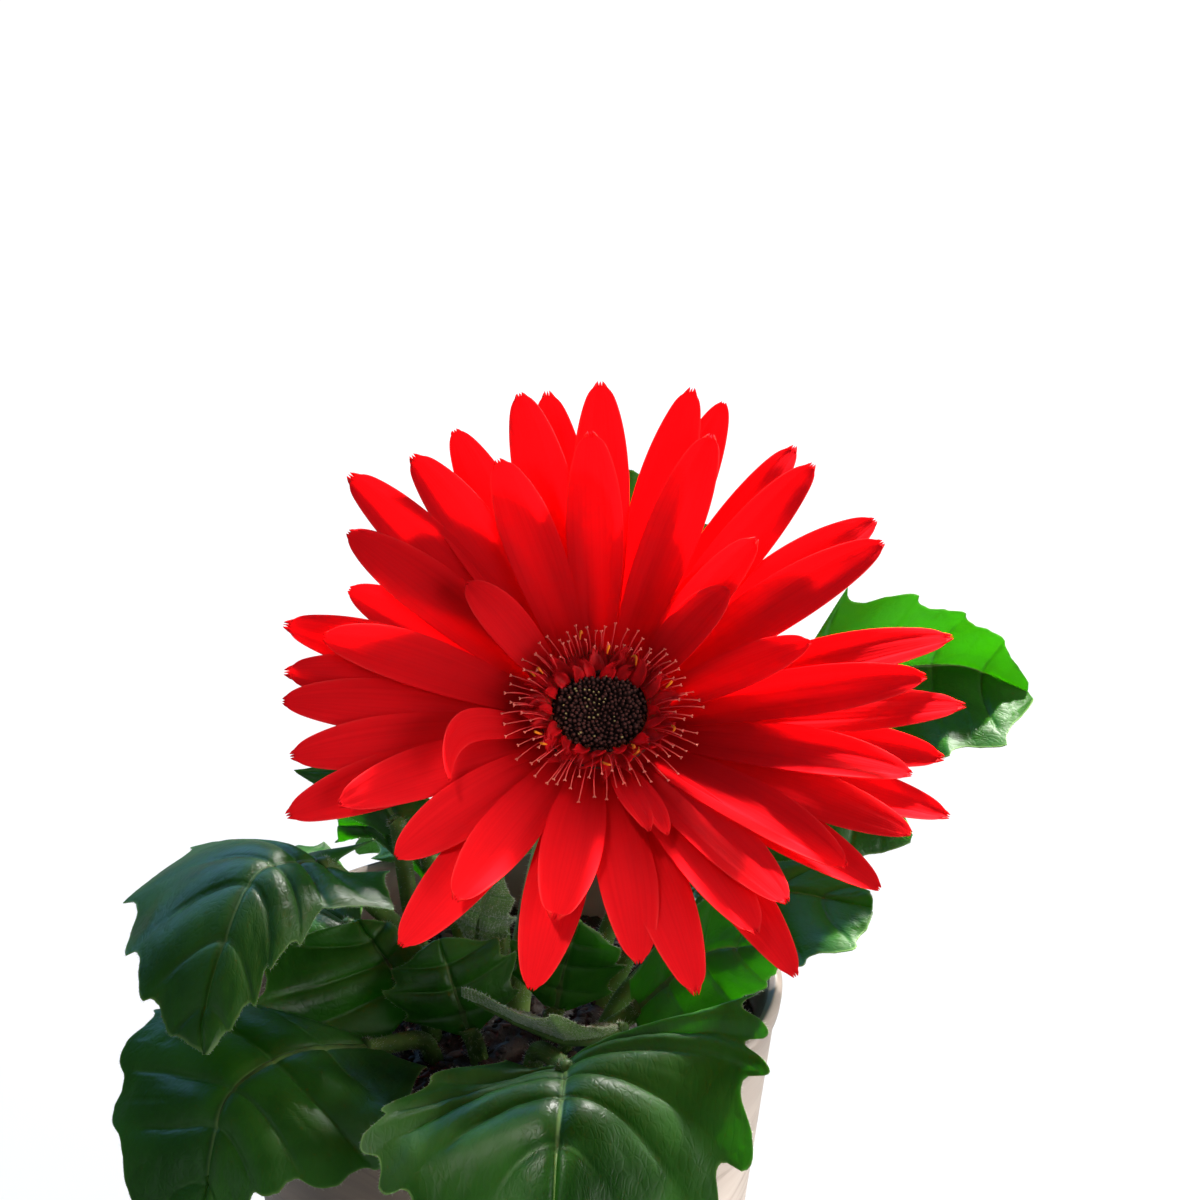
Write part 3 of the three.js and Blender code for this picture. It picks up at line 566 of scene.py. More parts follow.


# A printed wood look: broad soft bands that run round the wall, and short fine pores, with painted shade that
# darkens the left side.
def potMaterial():
    look = potLook
    material, tree, paint = newMaterial("woodPrint")
    place = addNode(tree, "TexCoord").outputs["Object"]
    bend = noise(tree, place, look["swayScale"], 2.0)
    sway = vectorMath(tree, "SCALE", {0: bend.outputs["Color"], "Scale": look["sway"]})
    bent = vectorMath(tree, "ADD", {0: place, 1: sway})
    bands = addNode(tree, "Mapping", {"Vector": bent, "Scale": look["grainScale"]}).outputs[0]
    grain = noise(tree, bands, 1.0, 5.0, Roughness=0.55).outputs["Fac"]
    fine = addNode(tree, "Mapping", {"Vector": bent, "Scale": look["poreScale"]}).outputs[0]
    pores = noise(tree, fine, 1.0, 3.0, Roughness=0.6).outputs["Fac"]
    # Painted shade: towards the left side of the pot the print runs to darker tones.
    aside = addNode(tree, "SeparateXYZ", {0: place}).outputs["X"]
    paintedShadeShare = mapRange(tree, aside, look["paintedShadeFrom"], look["paintedShadeTo"], 1.0, 0.0)
    light = mixColour(tree, paintedShadeShare, look["light"], look["paintedShadeLight"])
    dark = mixColour(tree, paintedShadeShare, look["dark"], look["paintedShadeDark"])
    base = mixColour(tree, mapRange(tree, grain, 0.32, 0.68), dark, light)
    lines = mapRange(tree, pores, 0.30, 0.46, look["lineShare"], 0.0)
    feed(tree, paint, {
        "Base Color": mixColour(tree, lines, base, look["line"]),
        "Roughness": mapRange(tree, grain, 0.3, 0.7, 0.42, 0.56),
    })
    addBump(tree, paint, pores, 0.2, 0.08)
    return material


# Rounds each marked corner of a profile: (radius, height, rounding).
def roundedProfile(corners, steps=5):
    profile = []
    for k, (r, z, rounding) in enumerate(corners):
        here = vec(r, z)
        if rounding == 0:
            profile.append(here)
            continue
        before = here + unit(vec(*corners[k - 1][:2]) - here) * rounding
        after = here + unit(vec(*corners[k + 1][:2]) - here) * rounding
        for share in np.linspace(0, 1, steps):
            profile.append(before * (1 - share) ** 2 + 2 * here * share * (1 - share) + after * share ** 2)
    return profile


def makePot():
    top = pot["height"]
    foot = pot["footRounding"]
    lipFoot = top - pot["lipHeight"]
    lip = pot["lipOut"]
    inside = pot["floor"] + pot["floorRounding"]
    rim = potRadius(top)
    rise = np.linspace(pot["wallFrom"], lipFoot - 1, pot["wallRows"])
    corners = [
        (0, 0, 0),
        (potRadius(0) - foot, 0, 0.5),
        (potRadius(foot), foot, 0.8),
        *[(potRadius(z), z, 0) for z in rise],
        (potRadius(lipFoot), lipFoot, 0.3),
        (potRadius(lipFoot) + lip, lipFoot + 1, 0.5),
        (rim - pot["lipDraft"] + lip, top - pot["lipRounding"], 0.6),
        (rim - pot["wall"] / 2 + lip / 2, top, 0.5),
        (rim - pot["wall"] + pot["lipDraft"], top - pot["mouthBevel"], 0.5),
        (potRadius(inside) - pot["wall"], inside, 1),
        (potRadius(pot["floor"]) - pot["wall"] - pot["floorRounding"], pot["floor"], 0.8),
        (0, pot["floor"], 0),
    ]
    points, wall, ends = latheShape(roundedProfile(corners), pot["sides"])
    middles = points[wall].mean(1)
    outside = np.hypot(middles[:, 0], middles[:, 1]) > potRadius(middles[:, 2]) - pot["wall"] / 2
    groups = [(wall[outside], 0), (wall[~outside], 1), (ends, 1)]
    look = potLook["inside"]
    inner = plainMaterial("potInside", look, shade(look, 0.6), 0.6, patch=40.0, grain=900.0,
                          bump=(0.2, 0.1), specular=0.5)
    piece = makePiece("pot_wall", points, groups, [potMaterial(), inner], ["pot"], "pot")
    for k in range(pot["drainHoles"]):
        turn = 2 * math.pi * k / pot["drainHoles"]
        bpy.ops.mesh.primitive_cylinder_add(
            vertices=pot["drainSides"],
            radius=pot["drainRadius"] * metre,
            depth=4 * pot["floor"] * metre,
            location=vec(math.cos(turn), math.sin(turn), 0) * pot["drainRing"] * metre,
        )
        drill = bpy.context.object
        cut = piece.modifiers.new("drain", "BOOLEAN")
        cut.operation = "DIFFERENCE"
        cut.object = drill
        bpy.context.view_layer.objects.active = piece
        bpy.ops.object.modifier_apply(modifier=cut.name)
        bpy.data.objects.remove(drill)
    piece.data.set_sharp_from_angle(angle=math.radians(pot["sharpFrom"]))


makePot()
print("pot made")


# Soil

# roughness holds waves as (height, size, seed). They fade out towards the wall over fadeOver.
# Each crumb and bit of bark has a range of sizes, and of heights and widths as shares of its size.
soil = {
    "edgeHeight": 90,
    "domeHeight": 3.5,
    "crumb": 0.9,
    "gap": 0.1,
    "roughness": [(0.5, 4.3, 3), (0.35, 1.9, 4)],
    "fadeOver": 3,
    "rings": 90,
    "sides": 200,
    "foot": 3.5,
    "chamfer": 2.4,
    "crumbs": 1500,
    "crumbSize": (0.5, 1.3),
    "crumbWide": (0.5, 1),
    "crumbHigh": (0.35, 0.8),
    "barkBits": 90,
    "barkSize": (1.2, 2.6),
    "barkShape": (1, 0.5, 0.22),
    "crumbMargin": 2.5,
    "crumbRise": 0.2,
}

soilLook = {
    "wet": (0.006, 0.0035, 0.002),
    "dry": (0.026, 0.015, 0.009),
    "bark": (0.07, 0.034, 0.018),
}


def soilHeight(x, y):
    share = np.hypot(x, y) / pot["rimRadius"]
    lumps = np.sin(0.31 * x + 1.7) * np.sin(0.37 * y - 0.4) + np.sin(0.83 * x - 0.55 * y)
    return soil["edgeHeight"] + soil["domeHeight"] * (1 - share ** 2) + soil["crumb"] * lumps


def soilMaterial():
    return plainMaterial("pottingSoil", soilLook["dry"], soilLook["wet"], (0.75, 0.98), patch=260.0,
                         grain=1400.0, bump=(0.8, 0.5), specular=0.5)


# A small rough lump, from a sphere of rings.
def lumpShape(rng, rings=5, sides=7):
    polar = np.pi * np.arange(1, rings) / rings
    turn = 2 * np.pi * np.arange(sides) / sides
    wall = np.stack([
        np.sin(polar)[:, None] * np.cos(turn),
        np.sin(polar)[:, None] * np.sin(turn),
        np.broadcast_to(np.cos(polar)[:, None], (rings - 1, sides)),
    ], -1)
    wall = wall * rng.uniform(0.75, 1.15, wall.shape[:2])[..., None]
    points = np.vstack([wall.reshape(-1, 3), [0, 0, 1], [0, 0, -1]])
    return points, *tubeFaces(rings - 1, sides, turned=True)


def makeSoilBed(radius):
    turn = 2 * math.pi * np.arange(soil["sides"]) / soil["sides"]
    reach = radius * np.arange(1, soil["rings"] + 1)[:, None] / soil["rings"]
    x = reach * np.cos(turn)
    y = reach * np.sin(turn)
    top = np.stack([x, y, soilHeight(x, y)], -1)
    fade = np.clip((radius - reach) / soil["fadeOver"], 0, 1)
    top[..., 2] += fade * sum(high * ripples(top, size, seed) for high, size, seed in soil["roughness"])
    low = soil["foot"] + soil["chamfer"]
    skirt = potRadius(low) - pot["wall"] - soil["gap"]
    floor = [
        np.stack([r * np.cos(turn), r * np.sin(turn), np.full(len(turn), z)], -1)
        for r, z in ((skirt, low), (skirt - soil["chamfer"], soil["foot"]))
    ]
    points = np.vstack([top.reshape(-1, 3), *floor, [0, 0, soilHeight(0, 0)], [0, 0, soil["foot"]]])
    wall, caps = tubeFaces(soil["rings"] + len(floor), soil["sides"], turned=True)
    makePiece("soil_bed", points, [(wall, 0), (caps, 0)], [soilMaterial()], ["soil"], "soil")


def makeCrumbs(radius):
    rng = np.random.default_rng(5)
    crumbs = Heap()
    for k in range(soil["crumbs"] + soil["barkBits"]):
        bark = k >= soil["crumbs"]
        reach = (radius - soil["crumbMargin"]) * math.sqrt(rng.uniform())
        angle = rng.uniform(0, 2 * math.pi)
        size = rng.uniform(*soil["barkSize" if bark else "crumbSize"])
        shape, wall, caps = lumpShape(rng)
        stretch = soil["barkShape"]
        if not bark:
            stretch = (1, rng.uniform(*soil["crumbWide"]), rng.uniform(*soil["crumbHigh"]))
        spin = rng.uniform(0, 2 * math.pi)
        shape = shape * stretch * size
        turned = np.stack([
            shape[:, 0] * math.cos(spin) - shape[:, 1] * math.sin(spin),
            shape[:, 0] * math.sin(spin) + shape[:, 1] * math.cos(spin),
            shape[:, 2],
        ], -1)
        x = reach * math.cos(angle)
        y = reach * math.sin(angle)
        turned += vec(x, y, soilHeight(x, y) + soil["crumbRise"] * size)
        crumbs.add(turned, [(wall, int(bark)), (caps, int(bark))])
    barkMaterial = plainMaterial("barkBits", soilLook["bark"], soilLook["dry"], 0.85, patch=420.0,
                                 grain=900.0, bump=(0.5, 0.2), specular=0.5)
    crumbs.make("soil_crumbs", [soilMaterial(), barkMaterial], ["soil"], "soil")


bedRadius = potRadius(soil["edgeHeight"]) - pot["wall"] - soil["gap"]
makeSoilBed(bedRadius)
makeCrumbs(bedRadius)
print("soil made")


# Flower head

head = {
    "centre": vec(20, -52, 188),
    "facing": unit(vec(0.061, -0.638, 0.767)),
}
headAcross = unit(np.cross(vec(0, 0, 1), head["facing"]))
headUp = np.cross(head["facing"], headAcross)


# Points of the head from flat places [x, y] and heights over the disc's plane.
def onHead(x, y, height):
    return (
        head["centre"]
        + headAcross * np.asarray(x)[..., None]
        + headUp * np.asarray(y)[..., None]
        + head["facing"] * np.asarray(height)[..., None]
    )


# Points of the head at a radius, a turn in degrees and a height.
def headPoint(radius, turn, height):
    angle = np.radians(turn)
    return onHead(radius * np.sin(angle), radius * np.cos(angle), height)


# A lathed shape in the head, closed on its axis.
def headLathe(profile, sides):
    points, wall, ends = latheShape(profile, sides)
    return onHead(*points.T), [(wall, 0), (ends, 0)]


# A blade that leaves the head outwards. turn, radius and height are given along it, and
# halfWidth, dish and roll shape it across. Returns its middle surface.
def headBlade(turn, radius, height, halfWidth, dish, roll, acrosses):
    spine = headPoint(radius, turn, height)
    forward = unit(np.gradient(spine, axis=0))
    flatSide = headPoint(np.ones_like(radius), turn + 90, np.zeros_like(radius)) - head["centre"]
    flatSide = unit(flatSide - forward * np.sum(flatSide * forward, -1, keepdims=True))
    up = unit(np.cross(flatSide, forward))
    up = up * np.sign(np.sum(up * head["facing"], -1, keepdims=True))
    lean = np.radians(roll)[:, None]
    side = flatSide * np.cos(lean) + up * np.sin(lean)
    normal = unit(np.cross(side, forward))
    normal = normal * np.sign(np.sum(normal * up, -1, keepdims=True))
    across = acrosses[None, :, None]
    width = halfWidth[:, None, None]
    hollow = normal[:, None] * dish * width * across ** 2
    return spine[:, None] + side[:, None] * across * width + hollow, normal


# Draws a blade's tip back in three small teeth, over its last part.
def biteTip(middle, along, acrosses, start, depth, power=1):
    bite = (0.5 - 0.5 * np.cos(3 * math.pi * acrosses)) * depth
    pull = ramp(along, start, 1)[:, None] ** power * bite
    forward = unit(np.gradient(middle.mean(1), axis=0))
    return middle - forward[:, None] * pull[..., None]


# A spread is how far the solid model's own draws vary a value, and a pair is the range of a
# draw: how far a petal bows and twists, how its tip lifts, how its rims waver and how deep the
# small teeth are at its tip. The three grooves are (place across, width, depth share).
rays = {
    "root": 7.6,
    "leave": 11,
    "dish": 0.1,
    "dishSpread": 0.16,
    "roll": 9,
    "rollSpread": 6,
    "widthSpread": 0.12,
    "bendFrom": 0.42,
    "bendRoll": 1.6,
    "bow": (-0.8, 0.8),
    "twist": (-7, 7),
    "tipLift": (-1.4, 1.0),
    "liftFrom": 0.55,
    "edgeWave": (0.1, 0.35),
    "waves": 7.5,
    "bite": (0.4, 1.5),
    "biteFrom": 0.92,
    "grooves": [(0.38, 0.1, 1.0), (0, 0.09, 0.5)],
    "grooveDepth": 0.2,
    "thickness": 0.46,
    "edgeThickness": 0.16,
    "rimFrom": 0.86,
    "rows": 40,
    "tipCrowding": 1.35,
    "columns": 19,
}
rayShape = {"foot": 0.34, "widest": 0.6, "tip": 0.13, "tipRoundness": 0.7}

# Petals in layers from the back of the head to its front, each as (turn, length). Turns run
# clockwise from the top, and a third number is how far a petal's outer half bends round.
rayLayers = [
    {
        "petals": [(24, 65.5), (39, 64), (104, 61), (114, 64), (297, 49), (337, 60), (355, 63)],
        "width": 9.8, "level": -4.4, "rise": 9.1, "arch": 1.5,
    },
    {
        "petals": [
            (4, 63), (19, 64.5), (44, 60.5), (58, 61), (83, 63.5), (97, 63.5), (121, 59), (133, 59.5),
            (152, 61.5), (169, 58), (177, 51), (196, 57), (218, 59.5), (230, 48), (249, 59.5), (258, 55.5),
            (269, 55.5), (276, 55.5), (285, 57), (307, 54), (316, 62), (328, 58), (350, 62),
        ],
        "width": 10.2, "level": -4.1, "rise": 12.2, "arch": 1.5,
    },
    {
        "petals": [
            (2, 50.5), (26, 55), (64, 58), (93, 56.5), (111, 55.5), (133, 53), (148, 51), (155, 53),
            (194, 45.5), (215, 48.5), (246, 51), (283, 49.5), (341, 48),
        ],
        "width": 10.2, "level": -3.8, "rise": 14.3, "arch": 1.4,
    },
    {
        "petals": [(47, 40.5), (52, 30), (81, 37.5), (313, 31)],
        "width": 8.2, "level": -3.5, "rise": 13.3, "arch": 1.3,
    },
    {"petals": [(258, 32.5, -20)], "width": 6, "level": -3.4, "rise": 13.3, "arch": 1.3},
    {"petals": [(162, 30), (169, 28.5)], "width": 4.6, "level": -3.3, "rise": 11.8, "arch": 1.3},
]

# The four shares ending in Shade are the most that each effect mixes in. The darkening towards the root is
# partly the petal's own deeper base and partly painted shade near the eye.
rayLook = {
    "face": (0.86, 0.011, 0.018),
    "deep": (0.42, 0.0018, 0.004),
    "edge": (1.0, 0.09, 0.09),
    "back": (0.72, 0.02, 0.018),
    "glow": (1.0, 0.036, 0.050),
    "through": 0.5,
    "streaks": (26, 1.3, 1),
    "rootTintAndShade": 0.8,
    "rootReach": 0.7,
    "streakShade": 0.3,
    "tintShade": 0.2,
    "rimShade": 0.3,
    "rough": 0.6,
    "specular": 0.02,
    "faceBump": 0.12,
    "backBump": 0.25,
}


# A petal's half width along it, as a share of the widest.
def rayOutline(along):
    shape = rayShape
    before = np.minimum(along / shape["widest"], 1)
    past = ramp(along, shape["widest"], 1)
    rising = shape["foot"] + (1 - shape["foot"]) * np.sin(math.pi / 2 * before)
    falling = shape["tip"] + (1 - shape["tip"]) * (1 - past ** 2) ** shape["tipRoundness"]
    return np.where(along < shape["widest"], rising, falling)


# Fine lines run the length of a petal, and it is darker towards its root, partly its own deeper base and
# partly painted shade over the inner halves of the petals.
def rayMaterial(name, face, bumpDepth):
    look = rayLook
    material, tree, paint = newMaterial(name)
    flat = addNode(tree, "UVMap", uv_map="flat").outputs[0]
    along = addNode(tree, "SeparateXYZ", {0: flat}).outputs[1]
    tint = mark(tree, "tint")
    lines = addNode(tree, "Mapping", {"Vector": flat, "Scale": look["streaks"]}).outputs[0]
    offset = addNode(tree, "CombineXYZ", {"Z": tint}).outputs[0]
    streak = noise(tree, vectorMath(tree, "ADD", {0: lines, 1: offset}), 1.0, 2.0).outputs["Fac"]
    # Darker towards the root: partly the petal's own colour, partly painted shade near the eye.
    rootTintAndShade = mapRange(tree, along, 0.0, look["rootReach"], look["rootTintAndShade"], 0.0)
    base = mixColour(tree, rootTintAndShade, face, look["deep"])
    streakShade = mapRange(tree, streak, 0.35, 0.75, 0.0, look["streakShade"])
    base = mixColour(tree, streakShade, base, look["deep"])
    base = mixColour(tree, mapRange(tree, tint, 0.0, 1.0, 0.0, look["tintShade"]), base, look["deep"])
    rim = mapRange(tree, mark(tree, "rim"), 0.0, 1.0, 0.0, look["rimShade"])
    feed(tree, paint, {
        "Base Color": mixColour(tree, rim, base, look["edge"]),
        "Roughness": look["rough"],
        "Specular IOR Level": look["specular"],
    })
    addBump(tree, paint, streak, 0.3, bumpDepth)
    letThrough(tree, paint, look["glow"], look["through"])
    return material


def makeRays():
    draws = drawsFrom(11)
    rng = np.random.default_rng(31)
    varied = lambda value, spread: value + spread * (next(draws) - 0.5)
    heap = Heap()
    along = 1 - (1 - np.linspace(0, 1, rays["rows"])) ** rays["tipCrowding"]
    v = np.sin(np.linspace(-math.pi / 2, math.pi / 2, rays["columns"]))
    bendShare = ramp(along, rays["bendFrom"], 1)
    # Two grooves part a petal lengthwise with a shallower one between them, and fade at its ends.
    fade = (ramp(along, 0, 0.25) * np.clip((1 - along) / 0.12, 0.1, 1))[:, None]
    groove = sum(deep * np.exp(-((np.abs(v) - place) / wide) ** 2) for place, wide, deep in rays["grooves"])
    thin = rays["edgeThickness"]
    thick = (thin + (rays["thickness"] - thin) * (1 - v ** 4)) * np.clip((1 - along) / 0.1, 0.4, 1)[:, None]
    flat = np.stack(np.broadcast_arrays(0.5 + v / 2, along[:, None]), -1).reshape(-1, 2)
    rim = (ramp(np.abs(v), rays["rimFrom"], 1) * ramp(along, 0.55, 0.85)[:, None]).ravel()
    for layer in rayLayers:
        for turn, length, *bends in layer["petals"]:
            bend = sum(bends)
            wide = layer["width"] * varied(1, rays["widthSpread"])
            dish = varied(rays["dish"], rays["dishSpread"])
            roll = varied(rays["roll"], rays["rollSpread"])
            leave = (rays["leave"] - rays["root"]) / (length - rays["root"])
            height = layer["level"] + layer["rise"] * (1 - (1 - ramp(along, leave, 1)) ** layer["arch"])
            # Small ways in which each petal differs from its neighbours.
            bow = rng.uniform(*rays["bow"])
            twist = rng.uniform(*rays["twist"])
            tipLift = rng.uniform(*rays["tipLift"])
            edgeWave = rng.uniform(*rays["edgeWave"])
            phase = rng.uniform(0, 6.28)
            height = height + tipLift * ramp(along, rays["liftFrom"], 1) ** 2
            turns = turn + bow * along ** 2 + bend * bendShare ** 3
            rolls = roll * along + twist * along ** 2 - rays["bendRoll"] * bend * bendShare ** 2
            radius = rays["root"] + (length - rays["root"]) * along
            middle, normal = headBlade(turns, radius, height, wide / 2 * rayOutline(along), dish, rolls, v)
            wave = edgeWave * v ** 2 * np.sin(rays["waves"] * along + phase)[:, None]
            middle = middle + normal[:, None] * ((wave - rays["grooveDepth"] * groove) * fade)[..., None]
            middle = biteTip(middle, along, v, rays["biteFrom"], rng.uniform(*rays["bite"]), 2)
            top, bottom, _ = thicken(middle, thick)
            if np.mean((top - bottom) @ head["facing"]) < 0:
                top, bottom = bottom, top
            tint = rng.uniform()
            heap.add(*sheetShape(top, bottom, 1), np.tile(flat, (2, 1)), tint=tint, rim=np.tile(rim, 2))
    face = rayMaterial("petalFace", rayLook["face"], rayLook["faceBump"])
    back = rayMaterial("petalBack", rayLook["back"], rayLook["backBump"])
    heap.make("ray_petals", [face, back], ["ray_florets"], "ray")


makeRays()
print("petals made")


# Eye of the flower

# A pair is the range of a draw.
eye = {
    "plateRadius": 10.6,
    "plateBottom": -5,
    "plateTop": -2.8,
    "discRadius": 8.5,
    "discTop": 0.9,
    "dip": 0.6,
    "shoulder": 1.6,
    "discDrop": 0.9,
    "discSkin": 0.45,
    "ringInner": 8.7,
    "ringOuter": 10.6,
    "ringTop": 0.4,
    "sides": 64,
}

# Closed disc florets, set in the spiral of a seed head. Those near the place called patch show
# pale specks more often than the others do.
buds = {
    "count": 330,
    "radius": 0.46,
    "sizes": (0.7, 1.2),
    "heights": (1.3, 1.9),
    "outerGrowth": 0.3,
    "sink": 0.35,
    "lean": 0.35,
    "rings": 6,
    "sides": 7,
    "patch": (-3.2, 0),
    "patchRadius": 4.6,
    "patchShare": 0.2,
    "strayShare": 0.03,
}

# Every third ligule is an inner one, which is shorter and steeper. Those at the top of the head
# start topShift further in, so that they lean over the disc.
ligules = {
    "count": 52,
    "starts": (9.2, 8.6),
    "topShift": 3.4,
    "lengths": ((3.6, 5.8), (2, 3.4)),
    "rise": (2.0, 3.4),
    "innerRise": 1.2,
    "curl": (-0.2, 1.0),
    "width": (0.75, 1.15),
    "sway": (-14, 14),
    "roll": (-45, 45),
    "dish": (0.1, 0.5),
    "bite": (0.6, 1.5),
    "thickness": 0.22,
    "rows": 10,
    "columns": 7,
}

# Styles stand in two rows, the outer one first. Those that point up the head are up to upShift
# shorter, and those that point down it up to downShift longer.
styles = {
    "count": 104,
    "radius": 0.1,
    "start": (9.0, 9.8),
    "ends": ((15.6, 17.9), (12.4, 16.0)),
    "upShift": 2.4,
    "downShift": 1.6,
    "tops": ((1.6, 3.6), (2.6, 4.6)),
    "bow": (-0.8, 0.8),
    "spread": (-0.9, 0.9),
    "branch": (0.34, 0.26),
    "steps": 9,
    "sides": 6,
}

anthers = {
    "count": 12,
    "reach": (9.2, 13.6),
    "bend": (-26, 26),
    "lift": (0, 1.2),
    "radius": 0.2,
    "steps": 8,
}

bristles = {
    "count": 1400,
    "reach": (8.5, 11.0),
    "uprightAt": 9.0,
    "length": (1.0, 2.6),
    "width": 0.09,
}

eyeLook = {
    "bud": (0.022, 0.007, 0.006),
    "budTip": (0.10, 0.03, 0.024),
    "speck": (0.75, 0.66, 0.22),
    "ligule": (0.75, 0.006, 0.012),
    "liguleGlow": (1.0, 0.01, 0.02),
    "style": (0.85, 0.035, 0.04),
    "styleTip": (1.0, 0.26, 0.20),
    "anther": (1.0, 0.26, 0.012),
    "antherDark": (0.5, 0.1, 0.01),
    "bristle": (0.22, 0.06, 0.025),
    "plate": (0.16, 0.02, 0.014),
    "plateDark": (0.07, 0.02, 0.012),
    "specular": 0.15,
}


# A material whose colour runs to another one towards the tip of each small shape.
def tippedMaterial(name, base, tip, start, end, rough):
    material, tree, paint = newMaterial(name)
    colour = mixColour(tree, mapRange(tree, mark(tree, "tipShare"), start, end), base, tip)
    feed(tree, paint, {"Base Color": colour, "Roughness": rough, "Specular IOR Level": eyeLook["specular"]})
    return material, tree, paint, colour


def budMaterial():
    look = eyeLook
    material, tree, paint, colour = tippedMaterial("discBuds", look["bud"], look["budTip"], 0.75, 0.97, 0.7)
    speck = mapRange(tree, mark(tree, "speck"), 0.45, 0.9, 0.0, 0.8)
    feed(tree, paint, {"Base Color": mixColour(tree, speck, colour, look["speck"])})
    return material


def styleMaterial():
    look = eyeLook
    material, tree, paint, _ = tippedMaterial("pinkStyles", look["style"], look["styleTip"], 0.5, 1.0, 0.6)
    letThrough(tree, paint, look["style"], 0.3)
    return material


def discHeight(radius):
    share = np.minimum(radius / eye["discRadius"], 1)
    return eye["discTop"] - eye["dip"] * (1 - share) ** 2 - eye["shoulder"] * share ** 6


def makeDisc():
    rng = np.random.default_rng(8)
    golden = math.pi * (3 - math.sqrt(5))
    edge = eye["discRadius"]
    base = eye["plateTop"] + 0.3
    slope = [(r, discHeight(r) - eye["discSkin"]) for r in np.linspace(0, edge, 24)[::-1]]
    dome = Heap()
    dome.add(*headLathe([(0, base), (edge, base), *slope], 48), tipShare=0.0, speck=0.0)
    rings, sides = buds["rings"], buds["sides"]
    polar = np.linspace(0.05, 0.62, rings) * math.pi
    turns = 2 * math.pi * np.arange(sides) / sides
    wall, caps = tubeFaces(rings, sides, turned=True)
    tipShare = np.concatenate([np.repeat(np.clip(np.cos(polar), 0, 1), sides), [1, 0]])
    speckShare = np.concatenate([np.repeat(np.clip(np.cos(polar) * 1.6 - 0.9, 0, 1), sides), [1, 0]])
    for k in range(buds["count"]):
        reach = (edge - 0.3) * math.sqrt((k + 0.5) / buds["count"]) * rng.uniform(0.94, 1.02)
        turn = k * golden + rng.uniform(-0.22, 0.22) / max(reach, 1)
        size = buds["radius"] * (0.82 + buds["outerGrowth"] * reach / edge) * rng.uniform(*buds["sizes"])
        tall = size * rng.uniform(*buds["heights"])
        girth = np.sin(polar)[:, None] ** 0.8 * size
        rise = np.broadcast_to((np.cos(polar) * tall)[:, None], (rings, sides))
        lean = buds["lean"] * reach / edge
        floor = discHeight(reach)
        outX, outY = math.cos(turn), math.sin(turn)
        x, y = reach * outX, reach * outY
        points = np.vstack([
            onHead(x + girth * np.cos(turns) + lean * rise * outX,
                   y - eye["discDrop"] + girth * np.sin(turns) + lean * rise * outY,
                   floor - buds["sink"] + rise).reshape(-1, 3),
            onHead(x + lean * tall * outX, y - eye["discDrop"] + lean * tall * outY,
                   floor - buds["sink"] + tall * 1.04),
            onHead(x, y - eye["discDrop"], floor - 1.0),
        ])
        inPatch = math.dist((x, y), buds["patch"]) < buds["patchRadius"]
        speckled = float(rng.uniform() < buds["patchShare" if inPatch else "strayShare"])
        dome.add(points, [(wall, 0), (caps, 0)], tipShare=tipShare, speck=speckShare * speckled)
    dome.make("disc_buds", [budMaterial()], ["disc_florets"], "disc")


# Returns the random numbers that the styles and anthers go on drawing from.
def makeLigules():
    rng = np.random.default_rng(12)
    ring = Heap()
    foot = eye["plateTop"] + 0.3
    ring.add(*headLathe([
        (0, foot),
        (eye["ringOuter"], foot),
        (eye["ringOuter"], eye["ringTop"] - 0.7),
        (eye["ringOuter"] - 0.8, eye["ringTop"] - 0.1),
        (eye["ringInner"], eye["ringTop"] - 0.5),
        (eye["ringInner"] - 0.2, foot + 0.3),
        (0, foot + 0.3),
    ], eye["sides"]))
    acrosses = np.linspace(-1, 1, ligules["columns"])
    along = np.linspace(0, 1, ligules["rows"])
    for k in range(ligules["count"]):
        inner = k % 3 == 2
        length = rng.uniform(*ligules["lengths"][inner])
        turn = 360 * (k + 0.5 * rng.uniform()) / ligules["count"]
        upwards = max(math.cos(math.radians(turn)), 0)
        start = ligules["starts"][inner] - ligules["topShift"] * upwards ** 1.5
        curl = rng.uniform(*ligules["curl"])
        height = eye["ringTop"] - 0.4 + rng.uniform(*ligules["rise"]) * along - curl * 2.2 * along ** 3
        height = height + ligules["innerRise"] * inner * along
        swell = 0.55 + 0.6 * np.sin(math.pi * np.minimum(along + 0.12, 1))
        width = rng.uniform(*ligules["width"]) * swell
        turns = turn + rng.uniform(*ligules["sway"]) * along ** 2
        rolls = rng.uniform(*ligules["roll"]) * along
        dish = rng.uniform(*ligules["dish"])
        middle, _ = headBlade(turns, start + length * along, height, width, dish, rolls, acrosses)
        middle = biteTip(middle, along, acrosses, 0.7, rng.uniform(*ligules["bite"]))
        top, bottom, _ = thicken(middle, ligules["thickness"])
        ring.add(*sheetShape(top, bottom))
    look = eyeLook["ligule"]
    red = plainMaterial("transRed", look, shade(look, 0.45), 0.5, patch=400.0,
                        through=(eyeLook["liguleGlow"], 0.4))
    ring.make("trans_ligules", [red], ["trans_florets"], "trans")
    return rng


